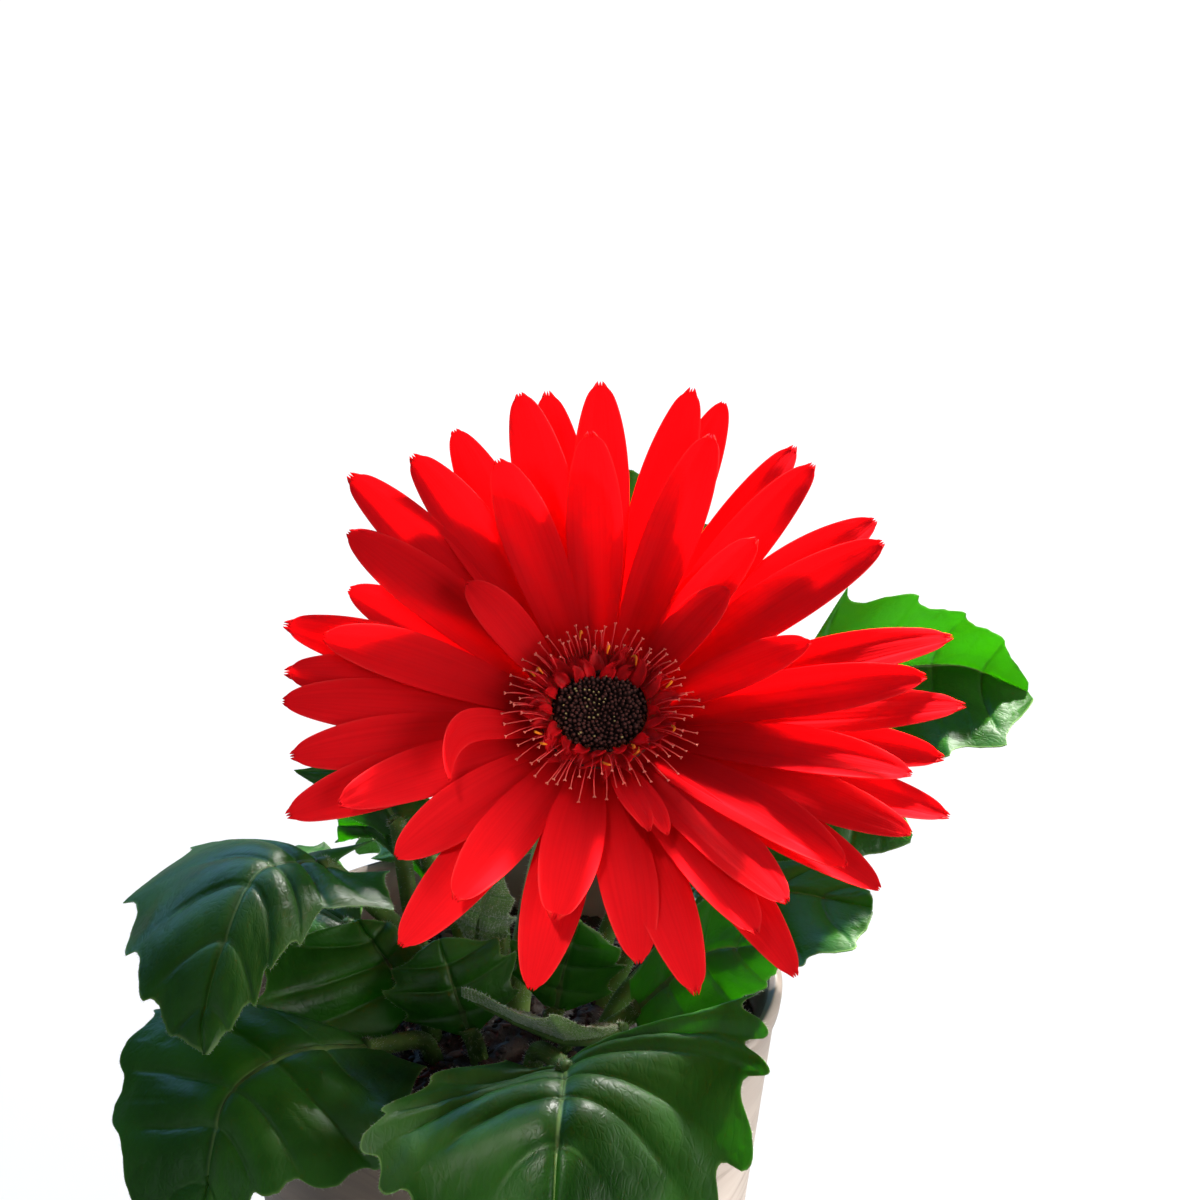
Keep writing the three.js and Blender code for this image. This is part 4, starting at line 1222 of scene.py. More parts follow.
# Each style is thicker where its pollen sleeve ends, and parts into two short branches.
def makeStyles(rng):
    heap = Heap()
    steps = np.linspace(0, 1, styles["steps"])
    branchSteps = np.linspace(0, 1, 4)[:, None]
    ahead, aside = styles["branch"]
    for k in range(styles["count"]):
        row = k % 2
        turn = 360 * (k + 0.5 * rng.uniform()) / styles["count"]
        start = rng.uniform(*styles["start"])
        end = rng.uniform(*styles["ends"][row])
        upwards = math.cos(math.radians(turn))
        end -= styles["upShift"] * max(upwards, 0) + styles["downShift"] * min(upwards, 0)
        top = rng.uniform(*styles["tops"][row])
        bow = rng.uniform(*styles["bow"])
        arch = np.sin(math.pi * steps)
        lift = eye["ringTop"] - 0.6 + (top - eye["ringTop"]) * steps ** 0.8 + 0.7 * arch
        path = headPoint(start + (end - start) * steps, turn + 2 * bow * arch, lift)
        thick = styles["radius"] * (1 + 0.5 * np.exp(-((steps - 0.72) / 0.1) ** 2))
        points, wall, caps = rodShape(path, thick, styles["sides"])
        pale = np.concatenate([np.repeat(steps * 0.8, styles["sides"]), [0, 0.8]])
        heap.add(points, [(wall, 0), (caps, 0)], tipShare=pale)
        forward = unit(path[-1] - path[-2])
        cross = unit(np.cross(forward, head["facing"]))
        spread = rng.uniform(*styles["spread"])
        cross = cross * math.cos(spread) + head["facing"] * math.sin(spread)
        for side in (-1, 1):
            branch = path[-1] + forward * ahead * branchSteps + cross * side * aside * branchSteps ** 1.4
            points, wall, caps = rodShape(branch, styles["radius"] * vec(1.2, 1.4, 1.5, 1.2), 5)
            heap.add(points, [(wall, 0), (caps, 0)], tipShare=1.0)
    heap.make("pink_styles", [styleMaterial()], ["trans_florets"], "trans")


# Small curled shreds of pollen-bearing anthers.
def makeAnthers(rng):
    heap = Heap()
    steps = np.linspace(0, 1, anthers["steps"])
    for k in range(anthers["count"]):
        turn = 360 * (k + rng.uniform(0, 0.9)) / anthers["count"]
        reach = rng.uniform(*anthers["reach"])
        bend = rng.uniform(*anthers["bend"])
        path = headPoint(
            reach + 1.1 * np.sin(2.2 * steps),
            turn + 4 * bend / reach * steps,
            1.4 + rng.uniform(*anthers["lift"]) + 1.1 * np.sin(math.pi * steps * 0.9),
        )
        thick = anthers["radius"] * np.sin(math.pi * (0.1 + 0.8 * steps)) + 0.05
        points, wall, caps = rodShape(path, thick, 6)
        heap.add(points, [(wall, 0), (caps, 0)])
    gold = plainMaterial("antherGold", eyeLook["anther"], eyeLook["antherDark"], 0.5)
    heap.make("gold_anthers", [gold], ["trans_florets"], "trans")


# Brown bristles stand up round the base of every trans floret.
def makeBristles():
    rng = np.random.default_rng(14)
    count = bristles["count"]
    reach = rng.uniform(*bristles["reach"], count)
    turn = rng.uniform(0, 360, count)
    roots = headPoint(reach, turn, np.full(count, eye["ringTop"] - 0.6))
    outwards = headPoint(np.ones(count), turn, np.zeros(count)) - head["centre"]
    lean = (reach - bristles["uprightAt"])[:, None] * 0.3
    heading = head["facing"] + outwards * lean + 0.25 * rng.normal(size=(count, 3))
    hairs = hairShape(roots, heading, rng.uniform(*bristles["length"], count), bristles["width"])
    look = eyeLook["bristle"]
    brown = plainMaterial("bristleBrown", look, shade(look, 0.5), 0.6)
    makePiece("pappus_bristles", *hairs, [brown], ["trans_florets"], "trans")


def makePlate():
    plate = headLathe([
        (0, eye["plateBottom"]),
        (eye["plateRadius"] - 0.6, eye["plateBottom"]),
        (eye["plateRadius"], eye["plateBottom"] + 0.6),
        (eye["plateRadius"], eye["plateTop"] - 0.3),
        (eye["plateRadius"] - 0.5, eye["plateTop"]),
        (0, eye["plateTop"]),
    ], eye["sides"])
    red = plainMaterial("plateRed", eyeLook["plate"], eyeLook["plateDark"], 0.6)
    makePiece("head_plate", *plate, [red], ["ray_florets"], "ray")


makeDisc()
transDraws = makeLigules()
makeStyles(transDraws)
makeAnthers(transDraws)
makeBristles()
makePlate()
print("eye made")


# Flower stalk and bracts

rootHeight = 80
straightShares = (0.3, 0.6)

stalk = {
    "radius": 2.7,
    "swell": 0.08,
    "route": [(1, 3, rootHeight), (4, 1, 108), (10, -15, 143), (17, -37, 170)],
    "sink": 11,
    "steps": 70,
    "sides": 20,
    "hairs": 2600,
    "hairFrom": 24,
    "hairLength": 0.9,
    "hairWidth": 0.07,
}

# The cup is a lathed profile of (radius over the stalk's own or whole radius, depth under the
# plate). The bracts stand round it in rows, each row lower and shorter than the last.
cup = {
    "gap": 0.3,
    "neck": [(0.6, 9), (1.2, 7.8), (2.2, 6.5), (3.6, 5.0)],
    "bowl": [(8.6, 3), (10.2, 1.5), (10.8, 0.8), (10.8, 0)],
    "sides": 48,
}
bracts = {
    "rows": 3,
    "perRow": 13,
    "length": 12.5,
    "shorter": 0.2,
    "lengths": (0.9, 1.05),
    "width": 3.3,
    "taper": 0.92,
    "start": 8.4,
    "inwards": 1.6,
    "drop": 2.9,
    "rowDrop": 1.7,
    "rise": 3.1,
    "rowRise": 0.3,
    "dish": -0.25,
    "thickness": 0.6,
    "thinning": 0.35,
    "steps": 14,
    "columns": 5,
}

greenLook = {
    "stalk": (0.20, 0.33, 0.07),
    "stalkDark": (0.11, 0.20, 0.045),
    "stalkGlow": (0.4, 0.65, 0.1),
    "bract": (0.13, 0.27, 0.05),
    "bractDark": (0.06, 0.14, 0.03),
    "bractGlow": (0.3, 0.55, 0.06),
    "hair": (0.62, 0.68, 0.52),
    "stem": (0.07, 0.14, 0.03),
    "stemDark": (0.035, 0.075, 0.018),
    "stemGlow": (0.35, 0.6, 0.08),
}


# The path of a stem: straight from its foot most of the way to its first bend.
def stemPath(route, steps):
    foot, bend, *rest = (vec(*place) for place in route)
    straight = [foot + (bend - foot) * share for share in straightShares]
    return onRoute([foot, *straight, bend, *rest], np.linspace(0, 1, steps))


# Hairs scattered over a rod.
def rodHairs(rng, path, radius, count, length, width):
    shares = rng.uniform(0, len(path) - 1.001, count)
    low = shares.astype(int)
    w = (shares - low)[:, None]
    centre = path[low] * (1 - w) + path[low + 1] * w
    forward = unit(path[low + 1] - path[low])
    around = unit(np.cross(forward, unit(rng.normal(size=(count, 3)))))
    radius = np.interp(shares, np.arange(len(path)), np.broadcast_to(radius, len(path)))
    heading = unit(around + forward * rng.uniform(-0.3, 0.5, (count, 1)))
    lengths = length * rng.uniform(0.5, 1.2, count)
    return hairShape(centre + around * (radius * 0.93)[:, None], heading, lengths, width)


hairMaterial = plainMaterial("paleHair", greenLook["hair"], shade(greenLook["hair"], 0.8), 0.6,
                             through=(greenLook["hair"], 0.45))
stemMaterial = plainMaterial("stemGreen", greenLook["stem"], greenLook["stemDark"], 0.45, patch=220.0,
                             through=(greenLook["stemGlow"], 0.15))


def makeStalk(rng):
    steps = stalk["steps"]
    top = head["centre"] - head["facing"] * stalk["sink"]
    path = stemPath([*stalk["route"], top], steps)
    radius = stalk["radius"] * (1 + stalk["swell"] * np.cos(np.linspace(0, 3.1, steps)))
    points, wall, caps = rodShape(path, radius, stalk["sides"])
    green = plainMaterial("stalkGreen", greenLook["stalk"], greenLook["stalkDark"], 0.5, patch=160.0,
                          sheen=0.2, through=(greenLook["stalkGlow"], 0.15))
    makePiece("stalk", points, [(wall, 0), (caps, 0)], [green], ["flower_stalk"], "stalk")
    low = stalk["hairFrom"]
    hairs = rodHairs(rng, path[low:], radius[low:], stalk["hairs"], stalk["hairLength"], stalk["hairWidth"])
    makePiece("stalk_hairs", *hairs, [hairMaterial], ["flower_stalk"], "stalk")


def makeBracts(rng):
    heap = Heap()
    level = eye["plateBottom"] - cup["gap"]
    neck = [(stalk["radius"] + out, level - depth) for out, depth in cup["neck"]]
    bowl = [(radius, level - depth) for radius, depth in cup["bowl"]]
    heap.add(*headLathe([(0, neck[0][1]), *neck, *bowl, (0, level)], cup["sides"]))
    along = np.linspace(0, 1, bracts["steps"])
    acrosses = np.linspace(-1, 1, bracts["columns"])
    width = bracts["width"] / 2 * (1 - bracts["taper"] * along ** 1.7)
    thick = (bracts["thickness"] - bracts["thinning"] * along)[:, None]
    for row in range(bracts["rows"]):
        for k in range(bracts["perRow"]):
            turn = 360 * (k + row / 2 + rng.uniform(-0.12, 0.12)) / bracts["perRow"]
            length = bracts["length"] * (1 - bracts["shorter"] * row) * rng.uniform(*bracts["lengths"])
            reach = bracts["start"] - bracts["inwards"] * row + length * along
            low = level - bracts["drop"] - bracts["rowDrop"] * row
            rise = bracts["rise"] + bracts["rowRise"] * row
            height = low + rise * along - along ** 4 * rng.uniform(0, 1)
            turns = np.full(len(along), turn)
            middle, _ = headBlade(turns, reach, height, width, bracts["dish"], np.zeros(len(along)), acrosses)
            top, bottom, _ = thicken(middle, thick)
            heap.add(*sheetShape(top, bottom))
    green = plainMaterial("bractGreen", greenLook["bract"], greenLook["bractDark"], 0.5, patch=260.0,
                          through=(greenLook["bractGlow"], 0.2))
    heap.make("bracts", [green], ["flower_stalk"], "stalk")


stalkDraws = np.random.default_rng(40)
makeStalk(stalkDraws)
makeBracts(stalkDraws)
print("stalk made")


# Leaves

# What every leaf shares, unless its own line says otherwise. fold, curl, sweep, heel and
# toothDepth are shares of the blade's half width. A bunch over 1 draws the side veins' starts
# towards the base, and a rightToothDepth is for the right-hand side alone.
leafHabit = {
    "halfWidth": 20,
    "face": (0, -0.5, 0.85),
    "teeth": 5,
    "toothDepth": 0.18,
    "bulge": 0.12,
    "veinBend": 1.5,
    "fold": 0.1,
    "curl": 0.2,
    "wave": 1.2,
    "phase": 0,
    "sweep": 0.3,
    "heel": 0.3,
    "fullness": 0.95,
    "roundness": 0.55,
    "bunch": 1,
    "stem": 2,
    "young": False,
    "quilt": 1.0,
}

# Sizes that all blades share. calm is how much flatter a young blade is, and furred is how many
# hairs it carries on its two sides.
leafBuild = {
    "rowStep": 0.62,
    "columns": 71,
    "youngColumns": 31,
    "narrowest": 0.9,
    "foot": 0.8,
    "cutSkew": 0.62,
    "puff": 0.03,
    "puffSkew": 0.8,
    "rippleLag": 2.1,
    "thickness": 0.55,
    "edgeThickness": 0.22,
    "smallTooth": 0.25,
    "smallTeeth": 3,
    "veinDepth": 0.38,
    "veinWidth": 0.4,
    "branchShare": 0.6,
    "quiltHeight": 0.5,
    "quiltSize": 6.5,
    "crossTie": 0.3,
    "crinkle": 0.08,
    "calm": 0.4,
    "rimWidth": 0.6,
    "hairLength": 0.75,
    "hairStep": 0.28,
    "hairWidth": 0.06,
    "stemHair": 0.9,
    "stemHairs": 14,
    "furred": 5200,
    "furLength": (0.3, 0.8),
}

# A leaf's stem and the rib under its blade. taper is the stem's thickness at shares of its way.
leafStem = {
    "steps": 34,
    "sides": 14,
    "taper": ([0, 0.35, 1], [1.25, 1.0, 0.92]),
    "underBlade": 0.03,
    "hairFrom": 12,
    "ribShare": 0.62,
    "ribTip": 0.22,
    "ribSink": 0.1,
    "ribReach": 0.93,
    "ribSides": 10,
}

# Each route runs from the root through the bend of the stem to the base of the blade, which is
# its third point, and on along the midrib to the tip. Where a leaf has lobes of its own, they
# are the points that its side veins run to, from the base to the tip.
leaves = [
    {
        "name": "leaf_front",
        "route": [(3, -13, rootHeight), (8, -25, 101), (13, -43, 108.5), (13, -57, 111), (12, -70, 106),
                  (11, -86, 85)],
        "rightLobes": [(2, -40, 108), (-12, -50, 110), (-20, -61, 110), (-22, -69, 106), (-16, -74, 102),
                       (-7, -83, 87), (10, -86, 82)],
        "leftLobes": [(50, -42, 124), (50.6, -47, 117.5), (51, -53, 112), (46, -64, 100), (39, -74, 91),
                      (27, -82, 86), (11, -86, 82)],
        "face": (-0.15, -0.5, 0.8), "faceTip": (-0.1, -0.9, 0.35),
        "teeth": 6, "toothDepth": 0.11, "rightToothDepth": 0.04, "bulge": 0.14, "veinBend": 2.1, "wave": 1,
        "quilt": 1.5, "bunch": 2.6,
    },
    {
        "name": "leaf_front_left",
        "route": [(-9, -10, rootHeight), (-16, -18, 99), (-24, -27, 103), (-38, -40, 110), (-49, -52, 109),
                  (-52, -62, 102), (-53, -74, 87)],
        "rightLobes": [(-34, -25, 105), (-52, -26, 113), (-67, -30, 113), (-72, -40, 106), (-72, -50, 99),
                       (-65, -64, 89), (-54, -75, 87)],
        "leftLobes": [(-14, -31, 101), (-19, -56, 107), (-22, -63, 98), (-35, -66, 99), (-43, -68, 97),
                      (-49, -73, 88), (-52, -75, 87)],
        "face": (-0.25, -0.45, 0.85), "faceTip": (-0.5, -0.8, 0.3),
        "teeth": 6, "toothDepth": 0.05, "bulge": 0.16, "veinBend": 1.7, "wave": 1,
    },
    {
        "name": "leaf_left_high",
        "route": [(-13, -1, rootHeight), (-20, 1, 112), (-33, -10, 133), (-41, -16, 138), (-47, -24, 139),
                  (-51, -37, 133), (-54, -48, 124), (-54, -54, 118)],
        "rightLobes": [(-26, 6, 132), (-43, -7, 134), (-64, 6, 130), (-75, -12, 127), (-71, -33, 127),
                       (-66, -45, 124), (-60, -51, 120), (-53, -54, 118)],
        "leftLobes": [(-22, -8, 132), (-20, -24, 132), (-33, -28, 134), (-37, -37, 132), (-42, -43, 129),
                      (-45, -48, 125), (-49, -51, 121), (-53, -54, 118)],
        "face": (-0.1, -0.1, 1), "faceTip": (-0.45, -0.85, 0.3),
        "teeth": 7, "toothDepth": 0.09, "bulge": 0.05, "veinBend": 1.9, "wave": 0.8, "bunch": 1.5,
    },
    {
        "name": "leaf_left_low",
        "route": [(-12, -6, rootHeight), (-15, -8, 97), (-17, -12, 103), (-23, -12, 114), (-29, -8, 121)],
        "rightLobes": [(-15, -11, 108), (-15, -10, 115), (-19, -8, 118), (-23, -7, 120), (-28, -8, 121)],
        "leftLobes": [(-23, -18, 99), (-40, -24, 104), (-48, -24, 112), (-45, -14, 119), (-30, -9, 121)],
        "face": (-0.2, -0.9, 0.5),
        "teeth": 4, "toothDepth": 0.08, "bulge": 0.15, "wave": 1,
    },
    {
        "name": "leaf_front_young",
        "route": [(6, -8, rootHeight), (15, -15, 98), (24, -25, 106), (13, -32, 108), (-7, -27, 115)],
        "rightLobes": [(24, -24, 106), (18, -26, 107), (10, -25, 107), (1, -23, 109), (-7, -26, 115)],
        "leftLobes": [(24, -26, 107), (18, -33, 112), (10, -37, 115), (2, -34, 117), (-7, -28, 117)],
        "face": (0, 0.5, 0.8), "teeth": 4, "stem": 1.4, "young": True,
    },
    {
        "name": "leaf_centre_young",
        "route": [(-6, -5, rootHeight), (-7, -7, 99), (-5, -8, 115), (-4, -11, 124), (-1, -13, 135)],
        "halfWidth": 6.5, "face": (-0.2, -0.9, 0.3), "teeth": 4, "stem": 1.4, "young": True,
    },
    {
        "name": "leaf_centre_low",
        "route": [(-3, -11, rootHeight), (-5, -17, 97), (-6, -20, 102), (-9, -20, 112), (-12, -16, 121)],
        "face": (-0.1, -0.9, 0.4), "halfWidth": 13, "teeth": 4,
    },
    {
        "name": "leaf_centre_right",
        "route": [(7, -1, rootHeight), (10, -7, 97), (11, -11, 102), (13, -14, 114), (16, -18, 126)],
        "face": (0, -0.9, 0.35), "halfWidth": 11, "teeth": 4,
    },
    {
        "name": "leaf_front_right",
        "route": [(13, -9, rootHeight), (20, -13, 97), (27, -17, 105), (40, -24, 122), (52, -34, 130)],
        "rightLobes": [(28, -22, 103), (38, -28, 109), (47, -34, 116), (52, -37, 123), (54, -37, 128)],
        "leftLobes": [(26, -13, 110), (35, -13, 124), (43, -18, 131), (50, -26, 134), (54, -36, 129)],
        "face": (0.2, -0.5, 0.85),
        "teeth": 4, "toothDepth": 0.08, "bulge": 0.14, "wave": 1,
    },
    {
        "name": "leaf_right_low",
        "route": [(14, -3, rootHeight), (26, -3, 102), (38, -4, 116), (55, -6, 126), (74, -14, 127)],
        "rightLobes": [(43, -14, 116), (52, -26, 121), (60, -27, 122), (70, -26, 125), (74, -16, 127)],
        "leftLobes": [(40, 0, 122), (53, 2, 130), (66, -2, 130), (73, -8, 129), (74, -14, 129)],
        "face": (0.1, -0.6, 0.75),
        "teeth": 4, "toothDepth": 0.08, "bulge": 0.14, "wave": 1,
    },
    {
        "name": "leaf_right_mid",
        "route": [(14, 3, rootHeight), (28, 7, 109), (38, 10, 124), (62, 12, 138), (84, 8, 131)],
        "halfWidth": 14, "face": (0.1, -0.6, 0.75), "teeth": 4,
    },
    {
        "name": "leaf_right_high",
        "route": [(9, 10, rootHeight), (27, 20, 113), (49, 26, 129), (73, 34, 153), (94, 36, 158),
                  (110, 31, 154)],
        "rightLobes": [(60, 24, 125), (73, 24, 131), (82, 20, 140), (91, 8, 150), (103, 11, 151),
                       (111, 29, 153)],
        "leftLobes": [(51, 30, 143), (72, 38, 175), (87, 37, 173), (97, 36, 170), (105, 34, 164),
                      (110, 31, 156)],
        "face": (0.1, -0.7, 0.65),
        "toothDepth": 0.1, "bulge": 0.06,
    },
    {
        "name": "leaf_back_left",
        "route": [(-7, 12, rootHeight), (-10, 20, 104), (-16, 25, 116), (-26, 34, 120), (-37, 38, 119)],
        "rightLobes": [(-16, 26, 119), (-19, 34, 127), (-27, 38, 128), (-34, 39, 125), (-37, 38, 120)],
        "leftLobes": [(-16, 24, 113), (-18, 26, 112), (-24, 30, 115), (-29, 34, 118), (-37, 38, 115)],
        "face": (-0.1, -0.7, 0.7), "teeth": 4,
    },
    {
        "name": "leaf_back_left_high",
        "route": [(-11, 8, rootHeight), (-19, 11, 109), (-22, 17, 128), (-29, 28, 138), (-28, 34, 151)],
        "rightLobes": [(-19, 18, 128), (-15, 23, 132), (-14, 27, 138), (-18, 31, 146), (-28, 34, 151)],
        "leftLobes": [(-25, 18, 126), (-34, 24, 129), (-45, 30, 136), (-35, 31, 137), (-29, 34, 151)],
        "face": (-0.1, -0.6, 0.75), "teeth": 4,
    },
    {
        "name": "leaf_back",
        "route": [(-2, 14, rootHeight), (-4, 27, 98), (-6, 38, 107), (-12, 67, 110), (-19, 90, 82)],
        "halfWidth": 28, "face": (-0.05, 0.2, 0.95), "faceTip": (-0.2, 0.9, 0.4),
    },
    {
        "name": "leaf_back_right",
        "route": [(4, 14, rootHeight), (11, 27, 103), (17, 36, 122), (23, 44, 160), (26, 49, 197)],
        "halfWidth": 27, "face": (0.1, -0.9, 0.4), "faceTip": (0.1, -0.8, 0.6),
    },
    {
        "name": "leaf_back_high",
        "route": [(-1, 9, rootHeight), (-1, 19, 101), (-3, 27, 120), (-7, 38, 156), (-9, 45, 194)],
        "halfWidth": 21, "face": (-0.1, -0.9, 0.4), "teeth": 4,
    },
    {
        "name": "leaf_left_back",
        "route": [(-15, 4, rootHeight), (-24, 9, 97), (-32, 14, 106), (-54, 28, 110), (-71, 38, 96)],
        "halfWidth": 23, "face": (-0.25, 0.15, 0.95), "faceTip": (-0.7, 0.3, 0.6),
    },
    {
        "name": "leaf_right_back",
        "route": [(13, 8, rootHeight), (24, 16, 97), (32, 22, 105), (52, 34, 112), (68, 42, 101)],
        "halfWidth": 21, "face": (0.15, 0.1, 0.95), "faceTip": (0.6, 0.3, 0.6),
    },
]

# The shares are the most that each effect mixes in.
leafLook = {
    "upper": (0.020, 0.080, 0.007),
    "upperDark": (0.007, 0.032, 0.003),
    "vein": (0.055, 0.16, 0.03),
    "rib": (0.22, 0.38, 0.10),
    "under": (0.10, 0.20, 0.06),
    "underDark": (0.06, 0.13, 0.04),
    "rim": (0.16, 0.27, 0.08),
    "glow": (0.20, 0.66, 0.012),
    "glowYoung": (0.3, 0.5, 0.12),
    "young": (0.12, 0.23, 0.065),
    "youngDark": (0.07, 0.15, 0.04),
    "through": 0.3,
    "specular": 0.24,
    "patch": 55.0,
    "grain": 1800.0,
    "netScale": 6.5,
    "netWarp": 0.25,
    "netShare": 0.12,
    "veinShare": 0.8,
    "ribShare": 0.75,
    "rimShare": 0.6,
    "grainShare": 0.3,
}

# The materials of a leaf's two sides, and then of a young leaf's: name, light and dark shade,
# glow, roughness, depth of the bump, and sheen.
leafSides = [
    ("leafUpper", "upper", "upperDark", "glow", 0.42, 0.07, 0.0),
    ("leafUnder", "under", "underDark", "glow", 0.6, 0.4, 0.0),
    ("youngUpper", "young", "youngDark", "glowYoung", 0.7, 0.3, 0.5),
    ("youngUnder", "young", "under", "glowYoung", 0.8, 0.3, 0.6),
]


# The midrib's points, and the directions of the blade there: onwards, sideways and up.
def midribOf(leaf, along):
    baseShare = 2 / (len(leaf["route"]) - 1)
    bunched = lambda share: baseShare + (1 - baseShare) * np.clip(share, 0, 1) ** leaf["bunch"]
    place = lambda share: onRoute(leaf["route"], bunched(share))
    forward = unit(place(along + 0.002) - place(along - 0.002))
    faceBase = unit(vec(*leaf["face"]))
    faceTip = unit(vec(*leaf.get("faceTip", leaf["face"])))
    face = unit(faceBase + (faceTip - faceBase) * along[:, None])
    side = unit(np.cross(forward, face))
    return place(along), forward, side, np.cross(side, forward)


# The points that the side veins of one half of a blade run to.
def lobesOf(leaf, hand):
    own = leaf.get("rightLobes" if hand > 0 else "leftLobes")
    if own:
        return np.array(own, dtype=float)
    along = np.arange(leaf["teeth"] + 1) / leaf["teeth"]
    place, forward, side, normal = midribOf(leaf, along)
    body = np.maximum(np.sin(math.pi * along ** leaf["fullness"]), 0) ** leaf["roundness"]
    width = leaf["stem"] * leafBuild["foot"] * (1 - along) + leaf["halfWidth"] * body
    lead = leaf["sweep"] * np.sin(math.pi * along) - leaf["heel"] * (1 - along) ** 3
    reach = hand * np.maximum(width, leafBuild["narrowest"])
    rise = (leaf["fold"] - leaf["curl"]) * width
    return place + side * reach[:, None] + forward * (lead * width)[:, None] + normal * rise[:, None]


# The middle surface of a blade, on a grid of shares along it and across it, and how far from
# the midrib each point is, less than zero on the left. The side veins end in teeth, the margin
# cuts in behind each tooth, and the blade swells a little between the veins.
def leafPlace(leaf, along, acrosses):
    build = leafBuild
    place, _, side, normal = midribOf(leaf, along)
    first = np.minimum((along * leaf["teeth"] + 1e-9).astype(int), leaf["teeth"] - 1)
    past = np.clip(along * leaf["teeth"] - first, 0, 1)
    veins = math.pi * leaf["teeth"] * along
    notch = np.sin(math.pi * past ** build["cutSkew"])
    swell = leaf["bulge"] * past * np.sin(math.pi * past)
    small = (build["smallTeeth"] * past) % 1
    nick = build["smallTooth"] * np.minimum(small * 1.4, (1 - small) * 3.5) * np.sin(math.pi * along) ** 0.3
    halves = []
    for hand, out in ((-1, -acrosses[acrosses <= 0]), (1, acrosses[acrosses > 0])):
        lobes = lobesOf(leaf, hand)
        offset = lobes[first] * (1 - past)[:, None] + lobes[first + 1] * past[:, None] - place
        aside = np.sum(offset * side, -1)
        rest = offset - side * aside[:, None]
        depth = leaf.get("rightToothDepth", leaf["toothDepth"]) if hand > 0 else leaf["toothDepth"]
        length = np.maximum(np.linalg.norm(offset, axis=-1), 1)
        reach = out * (1 - depth * notch + swell)[:, None] + (nick / length)[:, None] * out ** 10
        turn = leaf["phase"] + (0 if hand > 0 else build["rippleLag"])
        waves = leaf["wave"] * out ** 2 * (np.sin(math.pi * along) * np.sin(veins + turn))[:, None]
        crown = np.sin(math.pi * out ** build["puffSkew"])
        puff = build["puff"] * np.abs(aside * np.sin(veins))[:, None] * crown
        points = (
            place[:, None]
            + side[:, None] * (aside[:, None] * reach)[..., None]
            + rest[:, None] * (np.maximum(reach, 0) ** leaf["veinBend"])[..., None]
            + normal[:, None] * (waves + puff)[..., None]
        )
        halves.append((points, hand * np.linalg.norm(points - place[:, None], axis=-1)))
    return *(np.concatenate(parts, 1) for parts in zip(*halves)), normal


# Upper faces are green and glossy with paler veins, and the under faces are duller. A fine net
# of the smallest veins lies between the others.
def leafMaterial(name, base, dark, glow, rough, bumpDepth, sheen):
    look = leafLook
    material, tree, paint = newMaterial(name)
    flat = addNode(tree, "UVMap", uv_map="flat").outputs[0]
    shades = mottled(tree, base, dark, look["patch"], look["grain"])
    warp = noise(tree, flat, 3.0, 2.0)
    shift = vectorMath(tree, "SCALE", {0: warp.outputs["Color"], "Scale": look["netWarp"]})
    netPlace = vectorMath(tree, "ADD", {0: flat, 1: shift})
    cells = {"Vector": netPlace, "Scale": look["netScale"]}
    net = addNode(tree, "TexVoronoi", cells, feature="DISTANCE_TO_EDGE").outputs["Distance"]
    netMask = mapRange(tree, net, 0.0, 0.06, look["netShare"], 0.0)
    colour = mixColour(tree, netMask, shades["Color"], look["vein"])
    for key, low, high, share, over in (
        ("vein", 0.3, 1.0, look["veinShare"], look["vein"]),
        ("midrib", 0.35, 0.95, look["ribShare"], look["rib"]),
        ("rim", 0.3, 1.0, look["rimShare"], look["rim"]),
    ):
        colour = mixColour(tree, mapRange(tree, mark(tree, key), low, high, 0.0, share), colour, over)
    feed(tree, paint, {
        "Base Color": colour,
        "Roughness": mapRange(tree, shades["Patch"], 0.3, 0.7, rough - 0.06, rough + 0.08),
        "Specular IOR Level": look["specular"],
        "Sheen Weight": sheen,
    })
    netHeight = mapRange(tree, net, 0.0, 0.25)
    grain = {0: shades["Grain"], 1: look["grainShare"]}
    grain = addNode(tree, "Math", grain, operation="MULTIPLY").outputs[0]
    height = addNode(tree, "Math", {0: netHeight, 1: grain}, operation="ADD").outputs[0]
    addBump(tree, paint, height, 0.4, bumpDepth)
    light = mixColour(tree, mapRange(tree, mark(tree, "vein"), 0.25, 0.95, 0.0, 0.4), glow, look["vein"])
    letThrough(tree, paint, light, look["through"])
    return material


